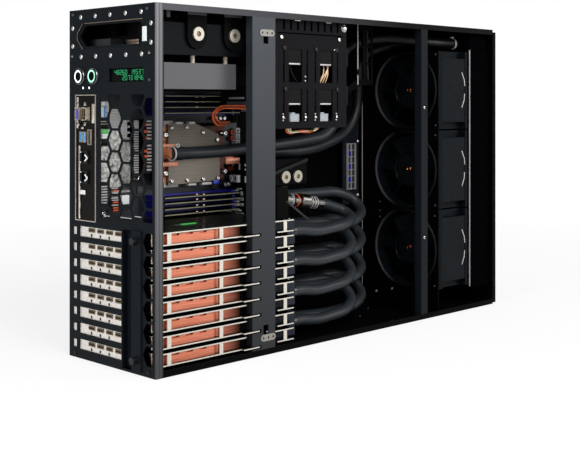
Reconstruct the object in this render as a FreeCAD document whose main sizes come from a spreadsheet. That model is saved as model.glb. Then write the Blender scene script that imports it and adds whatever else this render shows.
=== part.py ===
import FreeCAD, Part
import math
import os
import re
import Sketcher

# A liquid-cooled server with eight accelerator cards, standing on its long side.
# Places are measured from the rear wall's outer face (x), the open side (y) and the floor (z).
# The finished model has its origin at the middle of its base, +X to the front, open side to -Y.

SIZES = {
    # chassis shell of folded sheet
    "length": 681,
    "width": 177,
    "height": 439,
    "wall": 1.5,
    "lip": 8,
    "post_wide": 11,
    "hem_deep": 6,
    "front_deep": 8,
    "front_low": 2,
    "front_drop": 4,
    "front_fold": 6,
    "vent_wide": 108,
    "vent_tall": 7,
    "vent_pitch": 12.5,
    "fit_gap": 0.06,
    "control_tall": 102,
    "slot_high": 172,
    # grip opening at the top of the rear wall
    "grip_near": 16.5,
    "grip_back": 17.7,
    "grip_tall": 32.2,
    "grip_drop": 17.5,
    "grip_chamfer": 12,
    "collar_inset": 3,
    "collar_thick": 3,
    # honeycomb vent
    "grille_near": 3.5,
    "grille_gap": 5,
    "grille_low": 177,
    "grille_drop": 3,
    "hex_pitch": 26.5,
    "hex_web": 3,
    "hex_first_in": 10.3,
    "hex_first_z": 316,
    "hex_near": 6.3,
    "hex_margin": 3.4,
    "hex_low": 181,
    "hex_drop": 5,
    "side_vent_near": 4.8,
    "side_vent_far": 26,
    "side_vent_low": 12,
    "side_vent_high": 170,
    # input and output ports
    "io_back": 58,
    "io_wide": 44.45,
    "io_low": 173.5,
    "io_tall": 158.75,
    "shield_gap": 0.3,
    "shield_x": 0.6,
    "shield_thick": 0.8,
    "shield_rim": 1.4,
    "port_deep": 18,
    "port_proud": 1.6,
    "dsub_z": 308,
    "dsub_tall": 31,
    "dsub_wide": 12.5,
    "dsub_shell_tall": 17,
    "dsub_shell_wide": 8.4,
    "dsub_proud": 5.5,
    "dsub_slope": 1.5,
    "vga_in": 34,
    "serial_in": 18.5,
    "usb_z": 279,
    "usb_tall": 13.1,
    "usb_wide": 5.6,
    "usb_in": 31,
    "usb_pitch": 7,
    "video_out_in": 13,
    "video_out_tall": 19,
    "video_out_wide": 6,
    "port_skin": 0.6,
    "tongue_thick": 1.8,
    "lan_in": 25,
    "lan_first_z": 253.6,
    "lan_pitch": 25,
    "lan_tall": 16.5,
    "lan_wide": 17,
    "lan_hole_tall": 11.7,
    "lan_hole_wide": 8.6,
    "socket_deep": 12,
    # switches, lights and display on the control panel
    "power_back": 24.8,
    "switch_pitch": 28.8,
    "button_drop": 84,
    "switch_radius": 8,
    "switch_rim_radius": 9.7,
    "switch_proud": 4,
    "switch_deep": 22,
    "ring_inner": 5.95,
    "ring_outer": 8.6,
    "ring_deep": 1,
    "plunger_radius": 5.3,
    "plunger_proud": 0.4,
    "plunger_long": 16,
    "button_travel": 1.5,
    "lamp_pitch": 13.2,
    "lamp_back": 30.1,
    "lamp_drop": 14.4,
    "lamp_radius": 1.5,
    "lamp_long": 6,
    "display_near": 23.7,
    "display_far": 92,
    "display_tall": 16.5,
    "display_drop": 75.3,
    "display_margin": 5.8,
    "display_deep": 10,
    "display_recess": 1.3,
    # card slots in the slot panel
    "card_first_z": 160.3,
    "card_pitch": 20.32,
    "window_near": 66.8,
    "window_back": 21.7,
    "window_half": 6.5,
    "tongue_long": 8.5,
    "tongue_back": 7.7,
    "tongue_half": 5,
    "recess_near": 46.5,
    "recess_far": 64.8,
    "recess_low": 3,
    "recess_high": 170,
    "recess_deep": 9,
    "retainer_near": 26.4,
    "retainer_far": 44.3,
    "retainer_low": 4,
    "retainer_high": 170,
    "retainer_thick": 2,
    "thumb_y": 35.3,
    "thumb_high": 158.3,
    "thumb_low": 17.2,
    "thumb_radius": 4.5,
    "thumb_long": 7,
    "thumb_shank": 2,
    # braces across the open side
    "brace_x": 153.9,
    "brace_wide": 40.2,
    "brace_deep": 12,
    "notch_deep": 15.6,
    "notch_half": 2.2,
    "notch_drop": 6.4,
    "keyhole_x": 177.5,
    "keyhole_wide": 9,
    "keyhole_drop": 41.5,
    "keyhole_high_tall": 9.5,
    "keyhole_low_low": 26,
    "keyhole_low_tall": 12.5,
    "latch_high_x": 179,
    "latch_low_x": 181,
    "latch_wide": 25.5,
    "latch_drop": 32,
    "latch_low_low": 18,
    "latch_tall": 8.5,
    "latch_thick": 1,
    "latch_hole": 1.5,
    "front_brace_gap": 46.5,
    "front_brace_wide": 15,
    # main board
    "board_back": 14.5,
    "board_thick": 1.6,
    "board_rear": 3,
    "board_front": 275,
    "board_low": 8,
    "board_high": 338,
    "standoff_radius": 3,
    "standoff_margin": 8,
    "dimm_x": 116.5,
    "dimm_long": 133.35,
    "dimm_stand": 34,
    "dimm_tall": 31.25,
    "dimm_thick": 1.3,
    "dimm_pitch": 7.6,
    "dimm_upper_z": 331,
    "dimm_lower_z": 195.5,
    "dimm_socket_tall": 6.5,
    "dimm_socket_half": 3.1,
    "dimm_latch_long": 5.2,
    "dimm_latch_tall": 17,
    "cpu_rear": 132,
    "cpu_front": 208,
    "cpu_low": 214,
    "cpu_high": 290,
    "cpu_stand": 15.5,
    "cold_rear": 112,
    "cold_front": 228,
    "cold_low": 216,
    "cold_high": 290,
    "cold_thick": 9,
    "cold_arm_front": 246,
    "cold_arm_low": 238,
    "cold_arm_high": 246,
    "cover_rear": 124,
    "cover_slope_x": 171,
    "cover_front": 215,
    "cover_low": 212.5,
    "cover_high": 293.5,
    "cover_slope_z": 279,
    "cover_corner": 5.5,
    "cover_thick": 7,
    "vrm_rear": 28,
    "vrm_front": 60,
    "vrm_low": 200,
    "vrm_high": 300,
    "vrm_tall": 32.5,
    "vrm_base": 6,
    "vrm_fin": 2.5,
    "vrm_gap": 5,
    "slot_rear": 55,
    "slot_long": 89,
    "slot_tall": 11,
    "slot_half": 2.9,
    # power supply, reservoir and controller box
    "supply_rear": 45,
    "supply_long": 150,
    "supply_wide": 100,
    "supply_tall": 40,
    "inlet_wide": 27,
    "inlet_back": 38,
    "inlet_drop": 32,
    "inlet_tall": 20,
    "inlet_deep": 15,
    "reservoir_rear": 30,
    "reservoir_front": 176,
    "reservoir_near": 28,
    "reservoir_gap": 3.5,
    "reservoir_tall": 39.5,
    "reservoir_drop": 19,
    "lug_first_x": 83.5,
    "lug_second_x": 143.5,
    "lug_wide": 31,
    "lug_drop": 35,
    "lug_thick": 4,
    "plug_radius": 8.5,
    "plug_thick": 3,
    "plug_socket": 3.4,
    "plug_lift": 2.7,
    "pump_plug_first_x": 301,
    "pump_plug_pitch": 24,
    "pump_plug_z": 217,
    "controller_rear": 36,
    "controller_front": 153,
    "controller_near": 30,
    "controller_far": 110,
    "controller_tall": 32,
    "controller_post_long": 9.5,
    "controller_post_first": 88.7,
    "controller_post_second": 143,
    "controller_post_y": 40,
    # leads from the plug at the board's front edge
    "plug_rear": 257,
    "plug_front": 274,
    "lead_plug_deep": 28.5,
    "plug_low": 309.5,
    "plug_high": 322,
    "lead_radius": 1.3,
    "lead_step": 4,
    "lead_start_x": 261,
    "lead_out": 16,
    "lead_high": 318,
    "lead_bend_x": 204,
    "lead_rear": 187,
    "lead_middle": 305,
    "lead_low_x": 200,
    "lead_low": 291,
    "lead_back": 22.5,
    "lead_end_x": 236,
    # accelerator cards
    "card_gap": 0.4,
    "card_front": 234,
    "card_near": 13,
    "card_stand": 12.5,
    "card_thick": 1.6,
    "card_rise": 5.2,
    "finger_rear": 57,
    "finger_long": 85,
    "finger_deep": 9,
    "bracket_thick": 0.9,
    "bracket_near": 66.5,
    "bracket_back": 6,
    "bracket_half": 9.2,
    "video_back": 47.5,
    "video_edge": 6.9,
    "video_wide": 12.6,
    "video_tall": 5,
    "video_x": 0.5,
    "video_front": 12,
    "copper_rear": 14,
    "copper_front": 146,
    "copper_near": 11,
    "copper_short": 20,
    "copper_below": 5.7,
    "copper_split": 100,
    "copper_step": 4,
    "copper_notch_x": 33,
    "copper_notch_pitch": 21.5,
    "copper_notch_long": 11,
    "copper_notch_tall": 2,
    "copper_notch_deep": 3,
    "plate_near": 6,
    "plate_short": 2,
    "plate_thick": 1.5,
    "plate_clear": 14,
    "plate_gap_rear": 150,
    "plate_gap_front": 198,
    "tip_rear": 140,
    "tip_front": 167,
    "tip_near": 0.6,
    "tip_far": 40,
    "short_rear": 204,
    "tab_wide": 6,
    "tab_thick": 2.5,
    "tab_first_x": 25,
    "tab_second_x": 107,
    "tab_third_x": 218.3,
    "terminal_front": 250,
    "terminal_step": 236,
    "terminal_near": 20,
    "terminal_far": 60,
    # coolant loop
    "card_hose_radius": 7.6,
    "main_hose_radius": 8.2,
    "nut_radius": 8.6,
    "nut_long": 6,
    "lane_near_y": 30,
    "lane_far_y": 51,
    "return_near_y": 72,
    "return_far_y": 92,
    "bend_near_x": 393,
    "bend_far_x": 438,
    "loop_level": 16,
    "loop_lead": 88,
    "loop_start": 30,
    "loop_tip": 2,
    "loop_sag": 5,
    "manifold_rear": 258,
    "manifold_front": 280,
    "manifold_near": 62,
    "manifold_far": 104,
    "manifold_low": 20,
    "manifold_high": 206,
    "pump_front": 345,
    "pump_wide": 60,
    "pump_back": 27,
    "pump_high": 242,
    "pump_foot_x": 294,
    "pump_foot_pitch": 34,
    "pump_foot_wide": 10,
    "coupling_z": 188,
    "coupling_tilt": 8,
    "coupling_long": 76,
    "coupling_radius": 8,
    "coupling_neck": 6,
    "coupling_nut": 9,
    "collar_radius": 10.5,
    "collar_start": 30,
    "collar_long": 18,
    "cpu_elbow_x": 115,
    "cpu_hose_x": 124,
    "cpu_elbow_long": 37,
    "pump_hose_in": 37.5,
    "cpu_hose_z": 255.5,
    "cpu_hose_level": 60,
    "cpu_hose_rise_x": 330,
    "cpu_hose_rise": 8,
    "cpu_hose_lift": 20,
    "cpu_hose_turn_x": 436,
    "cpu_hose_dip": 10,
    "hose_cross": 43.5,
    "cpu_hose_cross_y": 80,
    "tank_run": 69,
    "pump_hose_bend_x": 400,
    "pump_hose_back_y": 130,
    "pump_hose_lift": 32,
    "pump_run": 84,
    "pump_elbow_x": 285,
    "pump_hose_x": 294,
    "pump_hose_gap": 0.4,
    "tank_hose_near_y": 40,
    "tank_hose_far_y": 100,
    "tank_hose_drop": 23,
    # fans and radiator
    "fan_wall_back": 137.5,
    "fan_wall_near": 4,
    "fan_wall_side": 18.5,
    "fan_wall_drop": 37,
    "fan_opening": 58.5,
    "fan_y": 68,
    "fan_drop": 0.5,
    "fan_pitch": 122.5,
    "fan_size": 120,
    "fan_deep": 78,
    "fan_flange": 5,
    "fan_relief": 11,
    "fan_bore": 57.5,
    "fan_stator_x": 38,
    "fan_stator_thick": 14,
    "fan_stator_radius": 27,
    "fan_strut": 5,
    "hub_radius": 28,
    "hub_start": 8,
    "hub_end": 34,
    "hub_round": 3,
    "shaft_radius": 3,
    "shaft_end": 51,
    "blade_tip": 55,
    "blade_root": 24,
    "blade_root_reach": 9,
    "blade_tip_reach": 15,
    "blade_start": 10,
    "blade_end": 32,
    "blade_thick": 3,
    "blade_count": 7,
    "core_back": 45,
    "core_deep": 44,
    "core_near": 12,
    "core_far": 128,
    "core_low": 45,
    "core_drop": 48,
    "core_groove": 3,
    "core_groove_deep": 8,
    "core_pitch": 9.4,
    "tank_low": 31,
    "tank_drop": 12,
    "side_plate_reach": 5,
    "side_plate_thick": 4,
    "side_plate_drop": 34,
    # drives and cables
    "drive_rear": 200,
    "drive_plate_front": 342,
    "drive_plate_near": 10,
    "drive_plate_tall": 151,
    "drive_slit_drop": 26,
    "drive_slit_tall": 1.6,
    "drive_window_lift": 8.6,
    "drive_window_tall": 43.8,
    "drive_window_rise": 52.5,
    "drive_window_first_x": 229,
    "drive_window_pitch": 60,
    "drive_window_wide": 25,
    "drive_slot_out": 8,
    "drive_slot_wide": 3,
    "hanger_slot_first": 218,
    "hanger_slot_pitch": 13,
    "hanger_slot_wide": 4,
    "hanger_slot_drop": 21,
    "hanger_slot_tall": 15,
    "drive_long": 147,
    "drive_deep": 101.6,
    "drive_thick": 26.1,
    "drive_lift": 31,
    "drive_rise": 53,
    "guide_back": 21.75,
    "guide_wide": 36,
    "guide_y": 60,
    "guide_tall": 91,
    "guide_foot_reach": 27,
    "guide_foot_drop": 16,
    "guide_slot_wide": 9,
    "guide_slot_tall": 22,
    "hub_board_wide": 38,
    "hub_board_gap": 5.5,
    "hub_board_back": 17,
    "hub_board_low": 160,
    "hub_board_high": 338,
    "hub_post_margin": 5,
}

# Places that follow the case or a neighbour, each by a named distance
PLACES = {
    "core_rear": "length - core_back",
    "core_front": "core_rear + core_deep",
    "side_plate_rear": "core_rear - side_plate_reach",
    "fan_wall_x": "length - fan_wall_back",
    "front_brace_x": "fan_wall_x - front_brace_gap",
    "hub_board_front": "fan_wall_x - hub_board_gap",
    "hub_board_rear": "hub_board_front - hub_board_wide",
    "tank_run_x": "core_rear - tank_run",
    "pump_run_x": "core_rear - pump_run",
    "cpu_hose_cross_x": "fan_wall_x - hose_cross",
    "pump_hose_turn_x": "fan_wall_x - hose_cross",
    "control_low": "height - control_tall",
    "grip_high": "height - grip_drop",
    "grip_low": "grip_high - grip_tall",
    "button_z": "height - button_drop",
    "lamp_z": "button_z - lamp_drop",
    "display_high": "height - display_drop",
    "display_low": "display_high - display_tall",
    "grille_high": "control_low - grille_drop",
    "hex_high": "control_low - hex_drop",
    "lug_z": "height - lug_drop",
    "plug_z": "lug_z + plug_lift",
    "reservoir_high": "height - reservoir_drop",
    "reservoir_far": "width - wall - supply_wide - reservoir_gap",
    "reservoir_low": "reservoir_high - reservoir_tall",
    "controller_high": "reservoir_low - controller_post_long",
    "controller_low": "controller_high - controller_tall",
    "inlet_low": "height - inlet_drop",
    "inlet_high": "inlet_low + inlet_tall",
    "drive_plate_low": "height - drive_plate_tall",
    "drive_slit_low": "height - drive_slit_drop",
    "drive_window_low": "drive_plate_low + drive_window_lift",
    "hanger_slot_low": "height - hanger_slot_drop",
    "hanger_slot_high": "hanger_slot_low + hanger_slot_tall",
    "drive_low_z": "drive_plate_low + drive_lift",
    "guide_rear": "(drive_plate_front + fan_wall_x) / 2 - guide_back",
    "guide_front": "guide_rear + guide_wide",
    "guide_foot_x": "guide_rear - guide_foot_reach",
    "guide_low": "height - guide_tall",
    "guide_foot_z": "guide_low - guide_foot_drop",
    "tank_hose_z": "height - tank_hose_drop",
    "tank_high": "height - tank_drop",
    "core_high": "height - core_drop",
    "side_plate_high": "height - side_plate_drop",
    "fan_wall_high": "height - fan_wall_drop",
    "fan_middle_z": "height / 2 - fan_drop",
    "front_high": "height - front_drop",
    "keyhole_high_low": "height - keyhole_drop",
    "latch_high_low": "height - latch_drop",
    "board_y": "width - board_back",
    "cpu_near": "board_y - cpu_stand",
    "dimm_near": "board_y - dimm_stand",
    "card_far": "board_y - card_stand",
    "plate_far": "card_far - plate_short",
    "copper_far": "card_far - copper_short",
    "io_near": "width - io_back",
    "vga_y": "io_near + vga_in",
    "serial_y": "io_near + serial_in",
    "usb_first_y": "io_near + usb_in",
    "video_out_y": "io_near + video_out_in",
    "lan_y": "io_near + lan_in",
    "grille_far": "io_near - grille_gap",
    "hex_far": "grille_far - hex_margin",
    "hex_first_y": "grille_far - hex_first_in",
    "bracket_far": "width - bracket_back",
    "tongue_far": "width - tongue_back",
    "tongue_near": "tongue_far - tongue_long",
    "window_far": "width - window_back",
    "video_first_y": "width - video_back",
    "video_pitch": "(video_first_y - window_near - video_edge) / 3",
    "power_y": "width - power_back",
    "reset_y": "power_y - switch_pitch",
    "lamp_far": "width - lamp_back",
    "lamp_near": "lamp_far - lamp_pitch",
    "grip_far": "width - grip_back",
    "inlet_far": "width - inlet_back",
    "inlet_near": "inlet_far - inlet_wide",
    "hub_board_y": "width - hub_board_back",
    "fan_wall_far": "width - fan_wall_side",
    "pump_far": "width - pump_back",
    "pump_near": "pump_far - pump_wide",
    "cpu_hose_y": "cpu_near - cpu_elbow_long",
    "pump_hose_y": "pump_near + pump_hose_in",
    "plug_near": "board_y - lead_plug_deep",
    "lead_y": "plug_near - lead_out",
    "lead_back_y": "board_y - lead_back",
    "card_rear": "recess_deep + card_gap",
    "pump_hose_z": "pump_high + nut_radius + pump_hose_gap",
}

CARDS = range(8)
CARD_PAIRS = range(0, 8, 2)
FANS = range(3)

doc = FreeCAD.newDocument("gpu_server")
sheet = doc.addObject("Spreadsheet::Sheet", "dims")
for row, (name, value) in enumerate(SIZES.items(), start=1):
    sheet.set(f"A{row}", name)
    sheet.set(f"B{row}", str(value))
    sheet.setAlias(f"B{row}", name)
doc.recompute()

TURN = {
    "x": FreeCAD.Rotation(FreeCAD.Vector(0, 1, 0), 90),
    "y": FreeCAD.Rotation(FreeCAD.Vector(1, 0, 0), -90),
    "z": FreeCAD.Rotation(),
}
HEX_TURN = TURN["x"] * FreeCAD.Rotation(FreeCAD.Vector(0, 0, 1), 30)
REAR = ("0", "wall")
THROUGH = ("-wall", "2 * wall")
FULL_TURN = 360
nodes = []


def cells(text):
    """Turn the plain words of a formula into cells of the sheet, and named places into their formulas."""
    def swap(word):
        name = word.group(0)
        return f"({cells(PLACES[name])})" if name in PLACES else "dims." + name
    return re.sub(r"\b(?!pi\b)[a-z]\w*\b(?!\()", swap, str(text))


def number(text):
    """The value of a formula, for the first draft of a sketch or a path."""
    return float(sheet.evalExpression(cells(text)))


def seat(thing, x, y, z):
    """Bind a place measured from the rear wall, the open side and the floor."""
    thing.setExpression("Placement.Base.x", cells(f"({x}) - length / 2"))
    thing.setExpression("Placement.Base.y", cells(f"({y}) - width / 2"))
    thing.setExpression("Placement.Base.z", cells(z))
    return thing


def box(name, x, y, z):
    """A block given by its start and end along each axis."""
    solid = doc.addObject("Part::Box", name)
    for side, (start, end) in zip(("Length", "Width", "Height"), (x, y, z)):
        solid.setExpression(side, cells(f"({end}) - ({start})"))
    return seat(solid, x[0], y[0], z[0])


def rod(name, axis, radius, run, across):
    """A cylinder along an axis, with its middle at the other two coordinates."""
    solid = doc.addObject("Part::Cylinder", name)
    solid.setExpression("Radius", cells(radius))
    solid.setExpression("Height", cells(f"({run[1]}) - ({run[0]})"))
    solid.Placement = FreeCAD.Placement(FreeCAD.Vector(), TURN[axis])
    place = list(across)
    place.insert("xyz".index(axis), run[0])
    return seat(solid, *place)


def hexagon(name, across_flats, run, y, z):
    """A six-sided bar along x with flats above and below."""
    solid = doc.addObject("Part::Prism", name)
    solid.Polygon = 6
    solid.setExpression("Circumradius", cells(f"({across_flats}) / sqrt(3)"))
    solid.setExpression("Height", cells(f"({run[1]}) - ({run[0]})"))
    solid.Placement = FreeCAD.Placement(FreeCAD.Vector(), HEX_TURN)
    return seat(solid, run[0], y, z)


def around(middle, half):
    """A span given by its middle and half its size."""
    return (f"{middle} - ({half})", f"{middle} + ({half})")


def group(name, solids):
    """Separate solids that share one node."""
    result = doc.addObject("Part::Compound", name)
    result.Links = list(solids)
    return result


def fuse(name, *solids):
    result = doc.addObject("Part::MultiFuse", name)
    result.Shapes = list(solids)
    return result


def cut(name, base, *tools):
    result = doc.addObject("Part::Cut", name)
    result.Base = base
    result.Tool = tools[0] if len(tools) == 1 else group(name + "_tools", tools)
    return result


def common(name, base, tool):
    result = doc.addObject("Part::Common", name)
    result.Base = base
    result.Tool = tool
    return result


def node(label, thing):
    """Name a finished sub-part."""
    thing.Label = label
    nodes.append(thing)
    return thing


def outline(body, name, role, points, lift="0"):
    """A closed sketch on one of the body's own planes, each corner bound to the sheet."""
    sketch = body.newObject("Sketcher::SketchObject", name)
    plane = next(item for item in body.Origin.OriginFeatures if item.Role == role)
    sketch.AttachmentSupport = [(plane, "")]
    sketch.MapMode = "FlatFace"
    sketch.setExpression("AttachmentOffset.Base.z", cells(lift))
    corners = [FreeCAD.Vector(number(u), number(v), 0) for u, v in points]
    for here, there in zip(corners, corners[1:] + corners[:1]):
        sketch.addGeometry(Part.LineSegment(here, there), False)
    count = len(points)
    for corner in range(count):
        link = Sketcher.Constraint("Coincident", corner, 2, (corner + 1) % count, 1)
        sketch.addConstraint(link)
    for corner, (u, v) in enumerate(points):
        for kind, text in (("DistanceX", u), ("DistanceY", v)):
            rule = Sketcher.Constraint(kind, -1, 1, corner, 1, number(text))
            index = sketch.addConstraint(rule)
            sketch.setExpression(f"Constraints[{index}]", cells(text))
    return sketch


def padded(name, role, points, depth, place):
    """A body raised from one closed outline."""
    body = doc.addObject("PartDesign::Body", name)
    sketch = outline(body, name + "_outline", role, points)
    pad = body.newObject("PartDesign::Pad", name + "_pad")
    pad.Profile = sketch
    pad.setExpression("Length", cells(depth))
    pad.Reversed = role == "XZ_Plane"
    body.Tip = pad
    seat(body, *place)
    return body


def card_z(index):
    return f"card_first_z - {index} * card_pitch"


def level_z(pair):
    """Height of the hoses of a pair of cards, halfway between the two."""
    return f"card_first_z - ({pair} * 2 + 0.5) * card_pitch"


def fan_z(index):
    return f"fan_middle_z + ({index} - 1) * fan_pitch"


def shell_walls():
    """Base, top and far wall with their lips and front folds, hanging lugs and standoffs."""
    inside = ("wall", "width - wall")
    lip_x = ("post_wide", "length")
    fold_x = ("length - wall", "length")
    base_sheet = box("base_sheet", ("wall", "length"), inside, REAR)
    base_lip = box("base_lip", lip_x, ("0", "wall"), ("0", "lip"))
    base_fold = box("base_fold", fold_x, inside, ("0", "front_fold"))
    node("base_wall", fuse("base_wall", base_sheet, base_lip, base_fold))
    top_parts = [box("top_sheet", ("wall", "length"), inside, ("height - wall", "height")),
                 box("top_lip", lip_x, ("0", "wall"), ("height - lip", "height")),
                 box("top_fold", fold_x, inside, ("height - front_fold", "height"))]
    for label in ("first", "second"):
        reach = ("reservoir_near - lug_thick", "reservoir_near")
        middle = f"lug_{label}_x"
        top_parts.append(box(f"lug_strip_{label}", around(middle, "lug_wide / 2"), reach,
                             ("lug_z", "height - wall")))
        top_parts.append(rod(f"lug_end_{label}", "y", "lug_wide / 2", reach, (middle, "lug_z")))
    node("top_wall", fuse("top_wall", *top_parts))
    far_parts = [box("far_sheet", ("wall", "length"), ("width - wall", "width"), ("0", "height"))]
    margin = "standoff_margin"
    board_back = "board_y + board_thick"
    columns = (f"board_rear + {margin}", "(board_rear + board_front) / 2", f"board_front - {margin}")
    rows = (f"board_low + {margin}", "(board_low + board_high) / 2", f"board_high - {margin}")
    for i, x in enumerate(columns):
        for j, z in enumerate(rows):
            far_parts.append(rod(f"standoff_{i}_{j}", "y", "standoff_radius",
                                 (board_back, "width - wall"), (x, z)))
    hub_back = "hub_board_y + board_thick"
    for i, x in enumerate(("hub_board_rear + hub_post_margin", "hub_board_front - hub_post_margin")):
        for j, z in enumerate(("hub_board_low + hub_post_margin", "hub_board_high - hub_post_margin")):
            far_parts.append(rod(f"hub_standoff_{i}_{j}", "y", "standoff_radius",
                                 (hub_back, "width - wall"), (x, z)))
    node("far_wall", fuse("far_wall", *far_parts))


def grip_block(name, run, grow):
    """A long block with cut corners, the shape of the grip opening grown by a margin."""
    low = f"grip_low - ({grow})"
    high = f"grip_high + ({grow})"
    near = f"grip_near - ({grow})"
    far = f"grip_far + ({grow})"
    bevel = "grip_chamfer"
    points = [
        (f"{near} + {bevel}", low), (f"{far} - {bevel}", low),
        (far, f"{low} + {bevel}"), (far, f"{high} - {bevel}"),
        (f"{far} - {bevel}", high), (f"{near} + {bevel}", high),
        (near, f"{high} - {bevel}"), (near, f"{low} + {bevel}"),
    ]
    return padded(name, "YZ_Plane", points, f"({run[1]}) - ({run[0]})", (run[0], "0", "0"))


def control_panel():
    """Top plate of the rear wall: grip opening with its collar, display window and switch holes."""
    plate = box("control_sheet", REAR, ("wall", "width"), ("control_low", "height"))
    tools = [grip_block("grip_cut", THROUGH, "0"),
             box("display_cut", THROUGH, ("display_near", "display_far"), ("display_low", "display_high"))]
    for label in ("power", "reset"):
        tools.append(rod(f"{label}_hole", "x", "switch_radius + fit_gap", THROUGH,
                         (f"{label}_y", "button_z")))
    for side in ("near", "far"):
        tools.append(rod(f"lamp_hole_{side}", "x", "lamp_radius + fit_gap", THROUGH,
                         (f"lamp_{side}", "lamp_z")))
    run = ("wall", "wall + collar_thick")
    ring = cut("grip_ring", grip_block("grip_ring_out", run, "collar_inset"),
               grip_block("grip_ring_in", run, "-collar_inset"))
    node("control_panel", fuse("control_panel", cut("control_face", plate, *tools), ring))


def vent_panel():
    """Middle plate of the rear wall and the honeycomb grille set into it."""
    plate = box("io_sheet", REAR, ("wall", "width"), ("slot_high", "control_low"))
    io_cut = box("io_cut", THROUGH, ("io_near", "io_near + io_wide"), ("io_low", "io_low + io_tall"))
    grille_cut = box("grille_cut", THROUGH, ("grille_near", "grille_far"), ("grille_low", "grille_high"))
    node("io_panel", cut("io_panel", plate, io_cut, grille_cut))
    field = []
    for column in range(5):
        for row in range(6):
            if (column, row) == (2, 0):
                continue
            z = f"hex_first_z + {column % 2} * hex_pitch / 2 - {row} * hex_pitch"
            y = f"hex_first_y - {column} * hex_pitch * sqrt(3) / 2"
            field.append(hexagon(f"vent_{column}_{row}", "hex_pitch - hex_web", THROUGH, y, z))
    window = box("vent_window", THROUGH, ("hex_near", "hex_far"), ("hex_low", "hex_high"))
    holes = common("vent_cut", group("vent_field", field), window)
    blank = box("grille_sheet", REAR, ("grille_near", "grille_far"), ("grille_low", "grille_high"))
    node("vent_grille", cut("vent_grille", blank, holes))


def slot_panel():
    """Bottom plate of the rear wall: card windows, sunk channel and a column of hexagons."""
    plate = box("slot_sheet", REAR, ("wall", "width"), ("0", "slot_high"))
    side = []
    for row in range(6, 12):
        z = f"hex_first_z - {row} * hex_pitch"
        y = "hex_first_y - 4 * hex_pitch * sqrt(3) / 2"
        side.append(hexagon(f"side_vent_{row}", "hex_pitch - hex_web", THROUGH, y, z))
    side_window = box("side_window", THROUGH, ("side_vent_near", "side_vent_far"),
                      ("side_vent_low", "side_vent_high"))
    tools = [common("side_vent_cut", group("side_vents", side), side_window)]
    for card in CARDS:
        z = card_z(card)
        tools.append(box(f"slot_window_{card}", THROUGH, ("window_near", "window_far"),
                         around(z, "window_half")))
        tools.append(box(f"slot_tongue_{card}", THROUGH, ("tongue_near", "tongue_far"),
                         around(z, "tongue_half")))
    tall = ("recess_low", "recess_high")
    tools.append(box("recess_cut", THROUGH, ("recess_near", "recess_far"), tall))
    for level in ("high", "low"):
        tools.append(rod(f"thumb_hole_{level}", "x", "thumb_shank + fit_gap", THROUGH,
                         ("thumb_y", f"thumb_{level}")))
    far_side = box("recess_side", ("wall", "recess_deep"), ("recess_far", "recess_far + wall"), tall)
    near_side = box("recess_near_side", ("wall", "recess_deep"), ("recess_near - wall", "recess_near"), tall)
    floor = box("recess_floor", ("recess_deep - wall", "recess_deep"), ("recess_near", "recess_far"), tall)
    face = cut("slot_face", plate, *tools)
    node("slot_panel", fuse("slot_panel", face, far_side, near_side, floor))
    strip = box("post_strip", ("0", "post_wide"), ("0", "wall"), ("0", "height"))
    hem = box("post_hem", ("post_wide - wall", "post_wide"), ("wall", "hem_deep"), ("wall", "height - wall"))
    node("corner_post", fuse("corner_post", strip, hem))


def card_retainer():
    """Cover strip beside the sunk channel, with its two thumbscrews."""
    strip = box("retainer_strip", ("-retainer_thick", "0"), ("retainer_near", "retainer_far"),
                ("retainer_low", "retainer_high"))
    holes = []
    screws = []
    for level in ("high", "low"):
        spot = ("thumb_y", f"thumb_{level}")
        holes.append(rod(f"strip_hole_{level}", "x", "thumb_shank + fit_gap",
                         ("-2 * retainer_thick", "retainer_thick"), spot))
        head = rod(f"thumb_head_{level}", "x", "thumb_radius",
                   ("-retainer_thick - thumb_long", "-retainer_thick"), spot)
        shank = rod(f"thumb_shank_{level}", "x", "thumb_shank", ("-retainer_thick", "3 * wall"), spot)
        screws.append(fuse(f"thumbscrew_{level}", head, shank))
    node("card_retainer", cut("card_retainer", strip, *holes))
    node("retainer_thumbscrews", group("retainer_thumbscrews", screws))


def switches():
    """Two push switches with lit rings, and the two small status lights."""
    bodies = []
    lights = []
    for label in ("power", "reset"):
        spot = (f"{label}_y", "button_z")
        barrel = rod(f"{label}_barrel", "x", "switch_radius", ("0", "switch_deep"), spot)
        rim = rod(f"{label}_rim", "x", "switch_rim_radius", ("-switch_proud", "0"), spot)
        start = "-switch_proud - plunger_proud"
        end = f"{start} + plunger_long"
        bore = rod(f"{label}_bore", "x", "plunger_radius + fit_gap",
                   ("-switch_proud", f"{end} + 2 * button_travel"), spot)
        run = ("-switch_proud", "ring_deep - switch_proud")
        groove = cut(f"{label}_groove", rod(f"{label}_groove_out", "x", "ring_outer", run, spot),
                     rod(f"{label}_groove_in", "x", "ring_inner", run, spot))
        bodies.append(cut(f"{label}_switch", fuse(f"{label}_blank", barrel, rim), bore, groove))
        lights.append(cut(f"{label}_ring", rod(f"{label}_ring_out", "x", "ring_outer", run, spot),
                          rod(f"{label}_ring_in", "x", "ring_inner", run, spot)))
        node(f"{label}_button", rod(f"{label}_button", "x", "plunger_radius", (start, end), spot))
    for side in ("near", "far"):
        lights.append(rod(f"lamp_{side}", "x", "lamp_radius", ("0", "lamp_long"),
                          (f"lamp_{side}", "lamp_z")))
    node("switch_bodies", group("switch_bodies", bodies))
    node("indicator_lights", group("indicator_lights", lights))


def display():
    """Display module behind its window, with a recess for the glass."""
    case = box("display_case", ("wall", "wall + display_deep"),
               ("display_near - display_margin", "display_far + display_margin"),
               ("display_low - display_margin", "display_high + display_margin"))
    pocket = box("display_pocket", ("0", "wall + display_recess"), ("display_near", "display_far"),
                 ("display_low", "display_high"))
    node("display_module", cut("display_module", case, pocket))


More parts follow.
